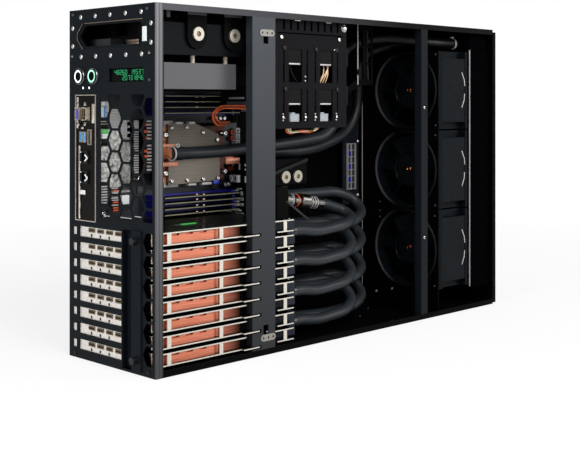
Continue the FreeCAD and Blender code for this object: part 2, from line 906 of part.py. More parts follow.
def port(name, y, z, wide, tall, skin, deep):
    """An upright socket seated on the board, with an open mouth at the shield."""
    shell = box(f"{name}_shell", ("-port_proud", "port_deep"), around(y, f"{wide} / 2"),
                around(z, f"{tall} / 2"))
    foot = box(f"{name}_foot", ("shield_x + shield_thick", "port_deep"),
               (f"{y} + {wide} / 2", "board_y"), around(z, f"{tall} / 2"))
    mouth = box(f"{name}_mouth", ("-port_proud", deep), around(y, f"{wide} / 2 - {skin[0]}"),
                around(z, f"{tall} / 2 - {skin[1]}"))
    hole = box(f"{name}_hole", ("-wall", "2 * wall"), around(y, f"{wide} / 2 + fit_gap"),
               around(z, f"{tall} / 2 + fit_gap"))
    return cut(name, fuse(f"{name}_blank", shell, foot), mouth), hole


def io_ports():
    """Bright shield with a raised rim, and the connectors behind it."""
    y_span = ("io_near + shield_gap", "io_near + io_wide - shield_gap")
    z_span = ("io_low + shield_gap", "io_low + io_tall - shield_gap")
    plate = box("shield_plate", ("shield_x", "shield_x + shield_thick"), y_span, z_span)
    rim_x = ("shield_x - shield_rim", "shield_x")
    rim_out = box("shield_rim_out", rim_x, y_span, z_span)
    rim_in = box("shield_rim_in", rim_x, (f"{y_span[0]} + shield_thick", f"{y_span[1]} - shield_thick"),
                 (f"{z_span[0]} + shield_thick", f"{z_span[1]} - shield_thick"))
    rim = cut("shield_rim", rim_out, rim_in)
    back = "shield_x + shield_thick"
    holes = []
    dsubs = []
    half_z = "dsub_shell_tall / 2"
    half_y = "dsub_shell_wide / 2"
    for label in ("vga", "serial"):
        flange = box(f"{label}_flange", (back, "port_deep"), around(f"{label}_y", "dsub_wide / 2"),
                     around("dsub_z", "dsub_tall / 2"))
        points = [(f"-{half_y}", f"dsub_slope - {half_z}"), (half_y, f"-{half_z}"),
                  (half_y, half_z), (f"-{half_y}", f"{half_z} - dsub_slope")]
        shell = padded(f"{label}_shell", "YZ_Plane", points, f"dsub_proud + {back}",
                       ("-dsub_proud", f"{label}_y", "dsub_z"))
        dsubs += [flange, shell]
        holes.append(box(f"{label}_hole", THROUGH, around(f"{label}_y", f"{half_y} + fit_gap"),
                         around("dsub_z", f"{half_z} + fit_gap")))
    dsubs.append(box("dsub_base", (back, "port_deep"), ("serial_y + dsub_wide / 2", "board_y"),
                     around("dsub_z", "dsub_tall / 2")))
    node("d_sub_ports", fuse("d_sub_ports", *dsubs))
    thin = ("port_skin", "port_skin")
    sockets = []
    for name, y, wide, tall in (("usb_far", "usb_first_y", "usb_wide", "usb_tall"),
                                ("usb_near", "usb_first_y - usb_pitch", "usb_wide", "usb_tall"),
                                ("video_out", "video_out_y", "video_out_wide", "video_out_tall")):
        socket, hole = port(name, y, "usb_z", wide, tall, thin, "socket_deep")
        tongue = box(f"{name}_tongue", ("0", "socket_deep"), around(y, "tongue_thick / 2"),
                     around("usb_z", f"{tall} / 2 - 2 * port_skin"))
        sockets += [socket, tongue]
        holes.append(hole)
    node("usb_ports", fuse("usb_ports", *sockets))
    thick = ("(lan_wide - lan_hole_wide) / 2", "(lan_tall - lan_hole_tall) / 2")
    jacks = []
    for index in range(2):
        z = f"lan_first_z - {index} * lan_pitch"
        jack, hole = port(f"lan_{index}", "lan_y", z, "lan_wide", "lan_tall", thick, "socket_deep")
        jacks.append(jack)
        holes.append(hole)
    node("lan_ports", group("lan_ports", jacks))
    node("io_shield", cut("io_shield", fuse("shield_blank", plate, rim), *holes))


def braces():
    """Channel braces across the open side and the bright latch plates."""
    face_z = ("lip", "height - lip")
    inner_z = ("wall", "height - wall")
    for label, rear, wide in (("gpu_brace", "brace_x", "brace_wide"),
                              ("front_brace", "front_brace_x", "front_brace_wide")):
        front = f"{rear} + {wide}"
        face = box(f"{label}_face", (rear, front), ("0", "wall"), face_z)
        sides = [box(f"{label}_rear_side", (rear, f"{rear} + wall"), ("wall", "brace_deep"), inner_z),
                 box(f"{label}_front_side", (f"{front} - wall", front), ("wall", "brace_deep"), inner_z)]
        blank = fuse(f"{label}_blank", face, *sides)
        if label == "front_brace":
            node(label, blank)
            continue
        tools = []
        for card in CARDS:
            tools.append(box(f"notch_{card}", (f"{rear} - wall", f"{rear} + notch_deep"),
                             ("-wall", "brace_deep + wall"),
                             around(f"{card_z(card)} - notch_drop", "notch_half")))
        for level in ("high", "low"):
            low = f"keyhole_{level}_low"
            tools.append(box(f"keyhole_{level}", around("keyhole_x", "keyhole_wide / 2"), THROUGH,
                             (low, f"{low} + keyhole_{level}_tall")))
        node(label, cut(label, blank, *tools))
    plates = []
    for level in ("high", "low"):
        run = ("-latch_thick", "0")
        middle_x = f"latch_{level}_x"
        middle_z = f"latch_{level}_low + latch_tall / 2"
        end = "latch_wide / 2 - latch_tall / 2"
        strip = box(f"latch_bar_{level}", around(middle_x, end), run, around(middle_z, "latch_tall / 2"))
        ends = [rod(f"latch_end_{level}_{side}", "y", "latch_tall / 2", run,
                    (f"{middle_x} + {side} * ({end})", middle_z)) for side in (-1, 1)]
        holes = [rod(f"latch_hole_{level}_{spot}", "y", "latch_hole", ("-2 * latch_thick", "latch_thick"),
                     (f"{middle_x} + {spot} * latch_wide / 3", middle_z)) for spot in (-1, 0, 1)]
        plates.append(cut(f"latch_{level}", fuse(f"latch_{level}_blank", strip, *ends), *holes))
    node("brace_latches", group("brace_latches", plates))


def main_board():
    """Main board with the sockets for memory and cards, and the fan hub board."""
    node("motherboard", box("motherboard", ("board_rear", "board_front"),
                            ("board_y", "board_y + board_thick"), ("board_low", "board_high")))
    node("hub_board", box("hub_board", ("hub_board_rear", "hub_board_front"),
                          ("hub_board_y", "hub_board_y + board_thick"), ("hub_board_low", "hub_board_high")))
    sockets = []
    modules = []
    end = "dimm_x + dimm_long"
    far = "dimm_near + dimm_tall"
    base_y = ("board_y - dimm_socket_tall", "board_y")
    ear_y = ("board_y - dimm_latch_tall", "board_y - dimm_socket_tall")
    long_x = ("dimm_x - dimm_latch_long", f"{end} + dimm_latch_long")
    for bank in ("upper", "lower"):
        for index in range(4):
            z = f"dimm_{bank}_z - {index} * dimm_pitch"
            name = f"{bank}_{index}"
            thick = around(z, "dimm_socket_half")
            thin = around(z, "dimm_thick / 2")
            parts = [box(f"dimm_base_{name}", long_x, base_y, thick),
                     box(f"dimm_ear_rear_{name}", (long_x[0], "dimm_x"), ear_y, thick),
                     box(f"dimm_ear_front_{name}", (end, long_x[1]), ear_y, thick)]
            slit = box(f"dimm_slit_{name}", ("dimm_x", end), ("dimm_near", far), thin)
            sockets.append(cut(f"dimm_socket_{name}", fuse(f"dimm_blank_{name}", *parts), slit))
            modules.append(box(f"memory_{name}", ("dimm_x", end), ("dimm_near", far), thin))
    node("dimm_sockets", group("dimm_sockets", sockets))
    node("memory_modules", group("memory_modules", modules))
    slots = []
    for card in CARDS:
        middle = f"{card_z(card)} + card_rise + card_thick / 2"
        blank = box(f"slot_blank_{card}", ("slot_rear", "slot_rear + slot_long"),
                    ("board_y - slot_tall", "board_y"), around(middle, "slot_half"))
        slit = box(f"slot_slit_{card}", ("finger_rear", "finger_rear + finger_long"),
                   ("card_far", "card_far + finger_deep"), around(middle, "card_thick / 2"))
        slots.append(cut(f"card_slot_{card}", blank, slit))
    node("pcie_slots", group("pcie_slots", slots))


def processor():
    """Processor socket, copper cold plate, its top plate and the finned regulator cooler."""
    node("cpu_socket", box("cpu_socket", ("cpu_rear", "cpu_front"), ("cpu_near", "board_y"),
                           ("cpu_low", "cpu_high")))
    plate_y = ("cpu_near - cold_thick", "cpu_near")
    base = box("cold_base", ("cold_rear", "cold_front"), plate_y, ("cold_low", "cold_high"))
    arm = box("cold_arm", ("cold_front", "cold_arm_front"), plate_y, ("cold_arm_low", "cold_arm_high"))
    node("cpu_cold_plate", fuse("cpu_cold_plate", base, arm))
    corner = "cover_corner"
    points = [("cover_rear", "cover_low"), (f"cover_front - {corner}", f"cover_low + {corner} / 2"),
              ("cover_front", f"cover_low + 2 * {corner}"), (f"cover_front - {corner} / 2", "cover_slope_z"),
              ("cover_slope_x", "cover_high"), ("cover_rear", "cover_high")]
    node("cpu_block_top", padded("cpu_block_top", "XZ_Plane", points, "cover_thick",
                                 ("0", "cpu_near - cold_thick - cover_thick", "0")))
    blank = box("vrm_blank", ("vrm_rear", "vrm_front"), ("board_y - vrm_tall", "board_y"),
                ("vrm_low", "vrm_high"))
    grooves = []
    for index in range(13):
        low = f"vrm_low + vrm_fin + {index} * (vrm_fin + vrm_gap)"
        grooves.append(box(f"vrm_groove_{index}", ("vrm_rear - wall", "vrm_front + wall"),
                           ("board_y - 2 * vrm_tall", "board_y - vrm_base"), (low, f"{low} + vrm_gap")))
    node("vrm_heatsink", cut("vrm_heatsink", blank, *grooves))


def power_parts():
    """Power supply behind the grip opening, coolant reservoir, port plugs and controller box."""
    case = box("supply_case", ("supply_rear", "supply_rear + supply_long"),
               ("width - wall - supply_wide", "width - wall"),
               ("height - wall - supply_tall", "height - wall"))
    inlet = box("supply_inlet", ("supply_rear - wall", "supply_rear + inlet_deep"),
                ("inlet_near", "inlet_far"), ("inlet_low", "inlet_high"))
    node("power_supply", cut("power_supply", case, inlet))
    node("reservoir", box("reservoir", ("reservoir_rear", "reservoir_front"),
                          ("reservoir_near", "reservoir_far"), ("reservoir_low", "reservoir_high")))
    lug_face = "reservoir_near - lug_thick"
    spots = [("lug_first_x", lug_face, "plug_z"), ("lug_second_x", lug_face, "plug_z"),
             ("pump_plug_first_x", "pump_near", "pump_plug_z"),
             ("pump_plug_first_x + pump_plug_pitch", "pump_near", "pump_plug_z")]
    plugs = []
    for index, (x, back, z) in enumerate(spots):
        disc = rod(f"plug_disc_{index}", "y", "plug_radius", (f"{back} - plug_thick", back), (x, z))
        key = rod(f"plug_key_{index}", "y", "plug_socket",
                  (f"{back} - 2 * plug_thick", f"{back} - plug_thick / 4"), (x, z))
        plugs.append(cut(f"plug_{index}", disc, key))
    node("port_plugs", group("port_plugs", plugs))
    parts = [box("controller_case", ("controller_rear", "controller_front"),
                 ("controller_near", "controller_far"), ("controller_low", "controller_high"))]
    for label in ("first", "second"):
        parts.append(rod(f"controller_post_{label}", "z", "standoff_radius",
                         ("controller_high", "reservoir_low"),
                         (f"controller_post_{label}", "controller_post_y")))
    node("controller_box", fuse("controller_box", *parts))


def card_frame(card):
    """One bright frame: upper plate, lower plate with its tongue, short lower piece and three tabs."""
    z = card_z(card)
    top = f"{z} + card_rise + card_thick"
    upper = (top, f"{top} + plate_thick")
    lower = (f"{z} - copper_below - plate_thick", f"{z} - copper_below")
    parts = [
        box(f"upper_back_{card}", ("card_rear", "card_front"), ("plate_clear", "plate_far"), upper),
        box(f"upper_rear_{card}", ("card_rear", "plate_gap_rear"), ("plate_near", "plate_clear"), upper),
        box(f"upper_front_{card}", ("plate_gap_front", "card_front"), ("plate_near", "plate_clear"), upper),
        box(f"lower_plate_{card}", ("card_rear", "copper_front"), ("plate_near", "plate_far"), lower),
        box(f"lower_tip_{card}", ("tip_rear", "tip_front"), ("tip_near", "tip_far"), lower),
        box(f"lower_short_{card}", ("short_rear", "card_front"), ("plate_near", "tip_far"), lower),
    ]
    for spot in ("first", "second", "third"):
        parts.append(box(f"tab_{spot}_{card}", around(f"tab_{spot}_x", "tab_wide / 2"),
                         ("plate_near", "plate_near + tab_thick"), (lower[0], upper[1])))
    return fuse(f"card_frame_{card}", *parts)


def card_copper(card):
    """One copper cold plate, stepped back at its front end and notched along its top edge."""
    z = card_z(card)
    low = f"{z} - copper_below"
    high = f"{z} + card_rise"
    block = box(f"copper_block_{card}", ("copper_rear", "copper_front"), ("copper_near", "copper_far"),
                (low, high))
    tools = [box(f"copper_step_{card}", ("copper_split", "card_front"), ("0", "copper_near + copper_step"),
                 (f"{low} - wall", f"{high} + wall"))]
    for index in range(3):
        start = f"copper_notch_x + {index} * copper_notch_pitch"
        tools.append(box(f"copper_notch_{card}_{index}", (start, f"{start} + copper_notch_long"),
                         ("0", "copper_near + copper_notch_deep"),
                         (f"{high} - copper_notch_tall", f"{high} + wall")))
    return cut(f"copper_{card}", block, *tools)


def cards():
    """Eight accelerator cards: board, bracket, video sockets, copper plate and bright frame."""
    boards = []
    brackets = []
    sockets = []
    for card in CARDS:
        z = card_z(card)
        thick = (f"{z} + card_rise", f"{z} + card_rise + card_thick")
        main = box(f"card_sheet_{card}", ("card_rear", "card_front"), ("card_near", "card_far"), thick)
        finger = box(f"card_finger_{card}", ("finger_rear", "finger_rear + finger_long"),
                     ("card_far", "card_far + finger_deep"), thick)
        boards.append(fuse(f"card_board_{card}", main, finger))
        plate = box(f"bracket_plate_{card}", ("wall", "wall + bracket_thick"),
                    ("bracket_near", "bracket_far"), around(z, "bracket_half"))
        holes = []
        for index in range(4):
            middle = f"video_first_y - {index} * video_pitch"
            span_z = (f"{z} + card_rise - video_tall", f"{z} + card_rise")
            sockets.append(box(f"video_{card}_{index}", ("video_x", "video_front"),
                               around(middle, "video_wide / 2"), span_z))
            holes.append(box(f"video_hole_{card}_{index}", ("0", "3 * wall"),
                             around(middle, "video_wide / 2 + fit_gap"),
                             (f"{span_z[0]} - fit_gap", f"{span_z[1]} + fit_gap")))
        brackets.append(cut(f"bracket_{card}", plate, *holes))
    node("gpu_boards", group("gpu_boards", boards))
    node("gpu_brackets", group("gpu_brackets", brackets))
    node("gpu_port_shells", group("gpu_port_shells", sockets))
    node("gpu_cold_plates", group("gpu_cold_plates", [card_copper(card) for card in CARDS]))
    node("gpu_frames", group("gpu_frames", [card_frame(card) for card in CARDS]))
    terminals = []
    for pair, card in enumerate(CARD_PAIRS):
        across = ("terminal_near", "terminal_far")
        arms = []
        for one in (card, card + 1):
            z = card_z(one)
            arms.append(box(f"terminal_arm_{one}", ("copper_front", "terminal_step"), across,
                            (f"{z} - copper_below", f"{z} + card_rise")))
        end = box(f"terminal_end_{pair}", ("terminal_step", "terminal_front"), across,
                  (f"{card_z(card + 1)} - copper_below", f"{card_z(card)} + card_rise"))
        terminals.append(fuse(f"terminal_{pair}", end, *arms))
    node("gpu_terminals", group("gpu_terminals", terminals))


def nut(name, x, y, z):
    """A hose nut along x, ending where its hose begins."""
    return rod(name, "x", "nut_radius", x, (y, z))


def coolant_blocks():
    """Manifold, pump block with its feet, and the bright nuts and elbows that hold the hoses."""
    node("coolant_manifold", box("coolant_manifold", ("manifold_rear", "manifold_front"),
                                 ("manifold_near", "manifold_far"), ("manifold_low", "manifold_high")))
    block = [box("pump_case", ("manifold_rear", "pump_front"), ("pump_near", "pump_far"),
                 ("manifold_high", "pump_high"))]
    for index in range(2):
        start = f"pump_foot_x + {index} * pump_foot_pitch"
        block.append(box(f"pump_foot_{index}", (start, f"{start} + pump_foot_wide"),
                         ("pump_far", "width - wall"), ("manifold_high", "pump_high")))
    node("pump_block", fuse("pump_block", *block))
    fittings = []
    for pair in range(4):
        low = level_z(pair)
        high = f"{low} + 2 * card_pitch"
        for lane in ("near", "far"):
            fittings.append(nut(f"card_nut_{pair}_{lane}", ("terminal_front", "terminal_front + nut_long"),
                                f"lane_{lane}_y", low))
            if (pair, lane) != (0, "near"):
                fittings.append(nut(f"return_nut_{pair}_{lane}",
                                    ("manifold_front", "manifold_front + nut_long"),
                                    f"return_{lane}_y", high))
    post = rod("cpu_elbow_post", "y", "nut_radius - wall", ("cpu_hose_y", "cpu_near - cold_thick"),
               ("cpu_elbow_x", "cpu_hose_z"))
    arm = nut("cpu_elbow_arm", ("cpu_elbow_x", "cpu_hose_x"), "cpu_hose_y", "cpu_hose_z")
    fittings.append(fuse("cpu_elbow", post, arm))
    post = rod("pump_elbow_post", "z", "nut_radius - wall", ("pump_high", "pump_hose_z"),
               ("pump_elbow_x", "pump_hose_y"))
    arm = nut("pump_elbow_arm", ("pump_elbow_x", "pump_hose_x"), "pump_hose_y", "pump_hose_z")
    fittings.append(fuse("pump_elbow", post, arm))
    for lane in ("near", "far"):
        fittings.append(nut(f"tank_nut_{lane}", ("core_rear - nut_long", "core_rear"),
                            f"tank_hose_{lane}_y", "tank_hose_z"))
    node("hose_fittings", group("hose_fittings", fittings))


def tilted(thing):
    """Turn a round piece made along z to lie along the first return line."""
    turn = FreeCAD.Rotation(FreeCAD.Vector(0, 1, 0), 90 + number("coupling_tilt"))
    thing.Placement = FreeCAD.Placement(FreeCAD.Vector(), turn)
    return seat(thing, "manifold_front", "return_near_y", "coupling_z")


def turned(name, points):
    """A body of revolution about its own z axis."""
    body = doc.addObject("PartDesign::Body", name)
    profile = outline(body, name + "_profile", "XZ_Plane", points)
    spun = body.newObject("PartDesign::Revolution", name + "_turned")
    spun.Profile = profile
    spun.ReferenceAxis = (profile, ["V_Axis"])
    spun.Angle = FULL_TURN
    body.Tip = spun
    return body, profile


def quick_coupling():
    """Stepped quick coupling on the first return line, with its sliding release collar."""
    slim = "coupling_neck"
    full = "coupling_radius"
    wide = "coupling_nut"
    long = "coupling_long"
    start = "coupling_nut * coupling_tilt * pi / 180"
    shoulder = "nut_long + 3 * wall"
    sleeve = "collar_start - 2 * nut_long"
    tail = f"{long} - 2 * nut_long"
    points = [("0", start), (wide, start), (wide, shoulder), (slim, shoulder), (slim, sleeve),
              (full, sleeve), (full, tail), (wide, tail), (wide, long), ("0", long)]
    body, profile = turned("coupling_body", points)
    node("coupling_body", tilted(body))
    start = "collar_start"
    end = "collar_start + collar_long"
    hole = "coupling_radius + fit_gap"
    ring = [(hole, start), ("collar_radius", start), ("collar_radius", end), (hole, end)]
    body, profile = turned("coupling_collar", ring)
    node("coupling_collar", tilted(body))


def spot(x, y, z):
    """A point of a hose route in the model's own frame."""
    return FreeCAD.Vector(number(f"({x}) - length / 2"), number(f"({y}) - width / 2"), number(z))


# Share of the shorter of two runs that the arc between them takes
ARC_SHARE = 0.45


def rounded_path(points):
    """Straight runs joined by tangent arcs, each as large as its two runs allow."""
    edges = []
    start = points[0]
    for before, corner, after in zip(points, points[1:], points[2:]):
        back = (before - corner).normalize()
        ahead = (after - corner).normalize()
        half_turn = (math.pi - back.getAngle(ahead)) / 2
        reach = ARC_SHARE * min((before - corner).Length, (after - corner).Length)
        radius = reach / math.tan(half_turn)
        enter = corner + back * reach
        leave = corner + ahead * reach
        inward = (back + ahead).normalize()
        crown = corner + inward * (radius / math.cos(half_turn) - radius)
        print("hose bend radius", round(radius, 1))
        edges.append(Part.LineSegment(start, enter).toShape())
        edges.append(Part.Arc(enter, crown, leave).toShape())
        start = leave
    edges.append(Part.LineSegment(start, points[-1]).toShape())
    return Part.Wire(edges)


# Share by which a hose's volume may differ from its section times its length
VOLUME_SLACK = 0.01


def hose(name, radius_cell, route):
    """A round hose along a route, with its volume checked against section times length."""
    path = rounded_path([spot(*place) for place in route])
    radius = number(radius_cell)
    first = path.Edges[0]
    ring = Part.makeCircle(radius, first.Vertexes[0].Point, first.tangentAt(first.FirstParameter))
    solid = path.makePipeShell([Part.Wire([ring])], True, False)
    if solid.Volume < 0:
        solid.reverse()
    wanted = math.pi * radius ** 2 * path.Length
    if abs(solid.Volume - wanted) > VOLUME_SLACK * wanted:
        raise ValueError(f"{name}: volume {solid.Volume:.0f}, expected {wanted:.0f}")
    thing = doc.addObject("Part::Feature", name)
    thing.Shape = solid
    thing.Placement = FreeCAD.Placement()
    return thing


# Corners of a card's hose loop: how far before the bend, and the share of the way to the return line
LOOP = (("loop_start", 0), ("loop_tip", 0.28), ("loop_tip", 0.72), ("loop_start", 1))


def hoses():
    """Card loops, and the processor and pump lines up to the radiator's top tank."""
    lines = []
    card_face = "terminal_front + nut_long"
    home_face = "manifold_front + nut_long"
    slope = number("coupling_tilt * pi / 180")
    for pair in range(4):
        low = level_z(pair)
        for lane in ("near", "far"):
            bend = f"bend_{lane}_x"
            out_y = f"lane_{lane}_y"
            home_y = f"return_{lane}_y"
            fall = slope if (pair, lane) == (0, "near") else 0
            high = "coupling_z" if fall else f"{low} + 2 * card_pitch"
            end_x = f"manifold_front + coupling_long * {math.cos(fall)}" if fall else home_face
            route = [(card_face, out_y, low), (f"{card_face} + loop_level", out_y, low),
                     (f"{bend} - loop_lead", out_y, f"{low} - loop_sag")]
            for back, share in LOOP:
                x = f"{bend} - {back}"
                home_z = f"{high} - ({x} - manifold_front) * {math.tan(fall)}"
                route.append((x, f"{out_y} + {share} * ({home_y} - {out_y})",
                              f"{low} + {share} * ({home_z} - ({low}))"))
            route.append((end_x, home_y, f"{high} - ({end_x} - manifold_front) * {math.tan(fall)}"))
            lines.append(hose(f"card_hose_{pair}_{lane}", "card_hose_radius", route))
    tank_face = "core_rear - nut_long"
    y = "cpu_hose_y"
    z = "cpu_hose_z"
    processor_line = [("cpu_hose_x", y, z), ("cpu_hose_x + cpu_hose_level", y, z),
                      ("cpu_hose_rise_x", y, f"{z} + cpu_hose_rise"),
                      ("cpu_hose_turn_x", y, f"{z} + cpu_hose_lift"),
                      ("cpu_hose_turn_x", y, "tank_hose_z - cpu_hose_dip"),
                      ("cpu_hose_cross_x", "cpu_hose_cross_y", "tank_hose_z + cpu_hose_rise"),
                      ("tank_run_x", "tank_hose_near_y", "tank_hose_z"),
                      (tank_face, "tank_hose_near_y", "tank_hose_z")]
    y = "pump_hose_y"
    z = "pump_hose_z"
    pump_line = [("pump_hose_x", y, z), ("pump_hose_bend_x", y, z),
                 ("pump_hose_turn_x", "pump_hose_back_y", f"{z} + pump_hose_lift"),
                 ("pump_hose_turn_x + lip / 2", "pump_hose_back_y", "tank_hose_z - cpu_hose_lift"),
                 ("pump_run_x", "tank_hose_far_y", "tank_hose_z"),
                 (tank_face, "tank_hose_far_y", "tank_hose_z")]
    lines.append(hose("processor_hose", "main_hose_radius", processor_line))
    lines.append(hose("pump_hose", "main_hose_radius", pump_line))
    node("coolant_hoses", group("coolant_hoses", lines))


def wire_leads():
    """Two thin leads that loop out of the board's plug and back to the board, and the plug itself."""
    things = [box("lead_plug", ("plug_rear", "plug_front"), ("plug_near", "board_y"),
                  ("plug_low", "plug_high"))]
    for index in range(2):
        inner = f"{index} * lead_step"
        across = f"lead_y + {inner}"
        start = (f"lead_start_x + {inner} * 2", "plug_near", f"lead_high - {inner}")
        out = (start[0], across, start[2])
        route = [start, out, (f"lead_bend_x + {inner}", across, f"{start[2]} + lead_radius / 2"),
                 (f"lead_rear + 2 * {inner}", across, "lead_middle"),
                 (f"lead_low_x + 2 * {inner}", f"{across} + lead_step", f"lead_low + {inner}"),
                 (f"lead_end_x + 2 * {inner}", "lead_back_y", f"lead_low + {inner}"),
                 (f"lead_end_x + 2 * {inner}", "board_y", f"lead_low + {inner}")]
        things.append(hose(f"lead_{index}", "lead_radius", route))
    node("wire_leads", group("wire_leads", things))


def fan_wall():
    """Partition in front of the fans, open at each fan."""
    plate = box("fan_plate", ("fan_wall_x", "fan_wall_x + wall"), ("fan_wall_near", "fan_wall_far"),
                ("wall", "fan_wall_high"))
    through = ("fan_wall_x - wall", "fan_wall_x + 2 * wall")
    tools = [rod(f"fan_opening_{fan}", "x", "fan_opening", through, ("fan_y", fan_z(fan))) for fan in FANS]
    node("fan_wall", cut("fan_wall", plate, *tools))


def fan_frame(fan):
    """Deep fan housing: square flanges, recessed corners, round bore, motor mount and struts."""
    start = "fan_wall_x + wall"
    z = fan_z(fan)
    half = "fan_size / 2"
    run = (start, f"{start} + fan_deep")
    block = box(f"fan_block_{fan}", run, around("fan_y", half), around(z, half))
    tools = [rod(f"fan_bore_{fan}", "x", "fan_bore", run, ("fan_y", z))]
    span = (f"{start} + fan_flange", f"{start} + fan_deep - fan_flange")
    for side_y in (-1, 1):
        for side_z in (-1, 1):
            y = f"fan_y + {side_y} * ({half} - fan_relief / 2)"
            corner_z = f"{z} + {side_z} * ({half} - fan_relief / 2)"
            tools.append(box(f"fan_relief_{fan}_{side_y + 1}_{side_z + 1}", span,
                             around(y, "fan_relief / 2"), around(corner_z, "fan_relief / 2")))
    ring = cut(f"fan_ring_{fan}", block, *tools)
    mount = (f"{start} + fan_stator_x", f"{start} + fan_stator_x + fan_stator_thick")
    motor = rod(f"fan_motor_{fan}", "x", "fan_stator_radius", mount, ("fan_y", z))
    reach = "fan_bore + wall"
    struts = [box(f"fan_strut_flat_{fan}", mount, around("fan_y", reach), around(z, "fan_strut / 2")),
              box(f"fan_strut_tall_{fan}", mount, around("fan_y", "fan_strut / 2"), around(z, reach))]
    joined = fuse(f"fan_joined_{fan}", ring, motor, *struts)
    label = f"fan_frame_{fan + 1}"
    bearing = rod(f"fan_bearing_{fan}", "x", "shaft_radius + fit_gap", mount, ("fan_y", z))
    node(label, cut(label, joined, bearing))


def fan_rotor(fan):
    """Hub turned from one profile, with one lofted blade repeated round it."""
    label = f"fan_rotor_{fan + 1}"
    points = [("0", "hub_start"), ("hub_radius - hub_round", "hub_start"),
              ("hub_radius", "hub_start + hub_round"), ("hub_radius", "hub_end"),
              ("shaft_radius", "hub_end"), ("shaft_radius", "shaft_end"), ("0", "shaft_end")]
    body, profile = turned(label, points)
    sections = []
    tip_lift = "sqrt(blade_tip ^ 2 - blade_tip_reach ^ 2)"
    for place, reach, lift in (("root", "blade_root_reach", "blade_root"),
                               ("tip", "blade_tip_reach", tip_lift)):
        section = [(f"-{reach}", "blade_start"), (f"blade_thick - {reach}", "blade_start"),
                   (reach, "blade_end"), (f"{reach} - blade_thick", "blade_end")]
        sections.append(outline(body, f"blade_{place}_{fan}", "YZ_Plane", section, lift))
    blade = body.newObject("PartDesign::AdditiveLoft", f"blade_{fan}")
    blade.Profile = sections[0]
    blade.Sections = [sections[1]]
    doc.recompute()
    pattern = body.newObject("PartDesign::PolarPattern", f"blade_ring_{fan}")
    pattern.Originals = [blade]
    pattern.Axis = (profile, ["V_Axis"])
    pattern.Angle = FULL_TURN
    body.Tip = pattern
    pattern.setExpression("Occurrences", cells("blade_count"))
    body.Placement = FreeCAD.Placement(FreeCAD.Vector(), TURN["x"])
    seat(body, "fan_wall_x + wall", "fan_y", fan_z(fan))
    node(label, body)


def radiator():
    """Grooved core between two tanks, held by two side plates."""
    tank_x = ("core_rear", "core_front")
    across = ("core_near", "core_far")
    block = box("core_block", tank_x, across, ("tank_low", "tank_high"))
    grooves = []
    for index in range(12):
        near = f"core_near + core_groove + {index} * core_pitch"
        span = (near, f"{near} + core_pitch - core_groove")
        tall = ("core_low", "core_high")
        grooves.append(box(f"core_rear_groove_{index}",
                           ("core_rear - wall", "core_rear + core_groove_deep"), span, tall))
        grooves.append(box(f"core_front_groove_{index}",
                           ("core_front - core_groove_deep", "core_front + wall"), span, tall))
    plate_x = ("side_plate_rear", "length + front_deep - wall")
    tall = ("tank_low", "side_plate_high")
    sides = [box("near_side_plate", plate_x, ("core_near - side_plate_thick", "core_near"), tall),
             box("far_side_plate", plate_x, ("core_far", "core_far + side_plate_thick"), tall)]
    node("radiator", fuse("radiator", cut("radiator_core", block, *grooves), *sides))


def front_panel():
    """Shallow front tray with rows of vent slots before each fan."""
    outer = ("length", "length + front_deep")
    tray = box("front_tray", outer, ("0", "width"), ("front_low", "front_high"))
    hollow = box("front_hollow", ("length - wall", "length + front_deep - wall"), ("wall", "width - wall"),
                 ("front_low + wall", "front_high - wall"))
    slots = []
    for fan in FANS:
        for row in range(9):
            slots.append(box(f"front_slot_{fan}_{row}", ("length + wall", "length + 2 * front_deep"),
                             around("fan_y", "vent_wide / 2"),
                             around(f"{fan_z(fan)} + ({row} - 4) * vent_pitch", "vent_tall / 2")))
    node("front_panel", cut("front_panel", cut("front_tray_open", tray, hollow), *slots))


def drive_cage():
    """Plate that hangs from the top wall and holds the two drives."""
    face_y = ("drive_plate_near", "drive_plate_near + wall")
    face = box("drive_face", ("drive_rear", "drive_plate_front"), face_y,
               ("drive_plate_low", "height - wall"))
    through = ("drive_plate_near - wall", "drive_plate_near + 2 * wall")
    tools = []
    for column in range(2):
        left = f"drive_window_first_x + {column} * drive_window_pitch"
        right = f"{left} + drive_window_wide"
        for row in range(2):
            low = f"drive_window_low + {row} * drive_window_rise"
            tall = (low, f"{low} + drive_window_tall")
            tools.append(box(f"drive_window_{column}_{row}", (left, right), through, tall))
            for side, start in (("rear", f"{left} - drive_slot_out - drive_slot_wide"),
                                ("front", f"{right} + drive_slot_out")):
                tools.append(box(f"drive_slot_{column}_{row}_{side}", (start, f"{start} + drive_slot_wide"),
                                 through, tall))
    edge = "drive_slot_out"
    tools.append(box("drive_slit", (f"drive_rear + {edge}", f"drive_plate_front - {edge}"), through,
                     ("drive_slit_low", "drive_slit_low + drive_slit_tall")))
    for index in range(9):
        start = f"hanger_slot_first + {index} * hanger_slot_pitch"
        tools.append(box(f"hanger_slot_{index}", (start, f"{start} + hanger_slot_wide"), through,
                         ("hanger_slot_low", "hanger_slot_high")))
    node("drive_plate", cut("drive_plate", face, *tools))
    drives = []
    for row in range(2):
        low = f"drive_low_z + {row} * drive_rise"
        drives.append(box(f"drive_{row}", ("drive_rear", "drive_rear + drive_long"),
                          (face_y[1], f"{face_y[1]} + drive_deep"), (low, f"{low} + drive_thick")))
    node("drives", group("drives", drives))


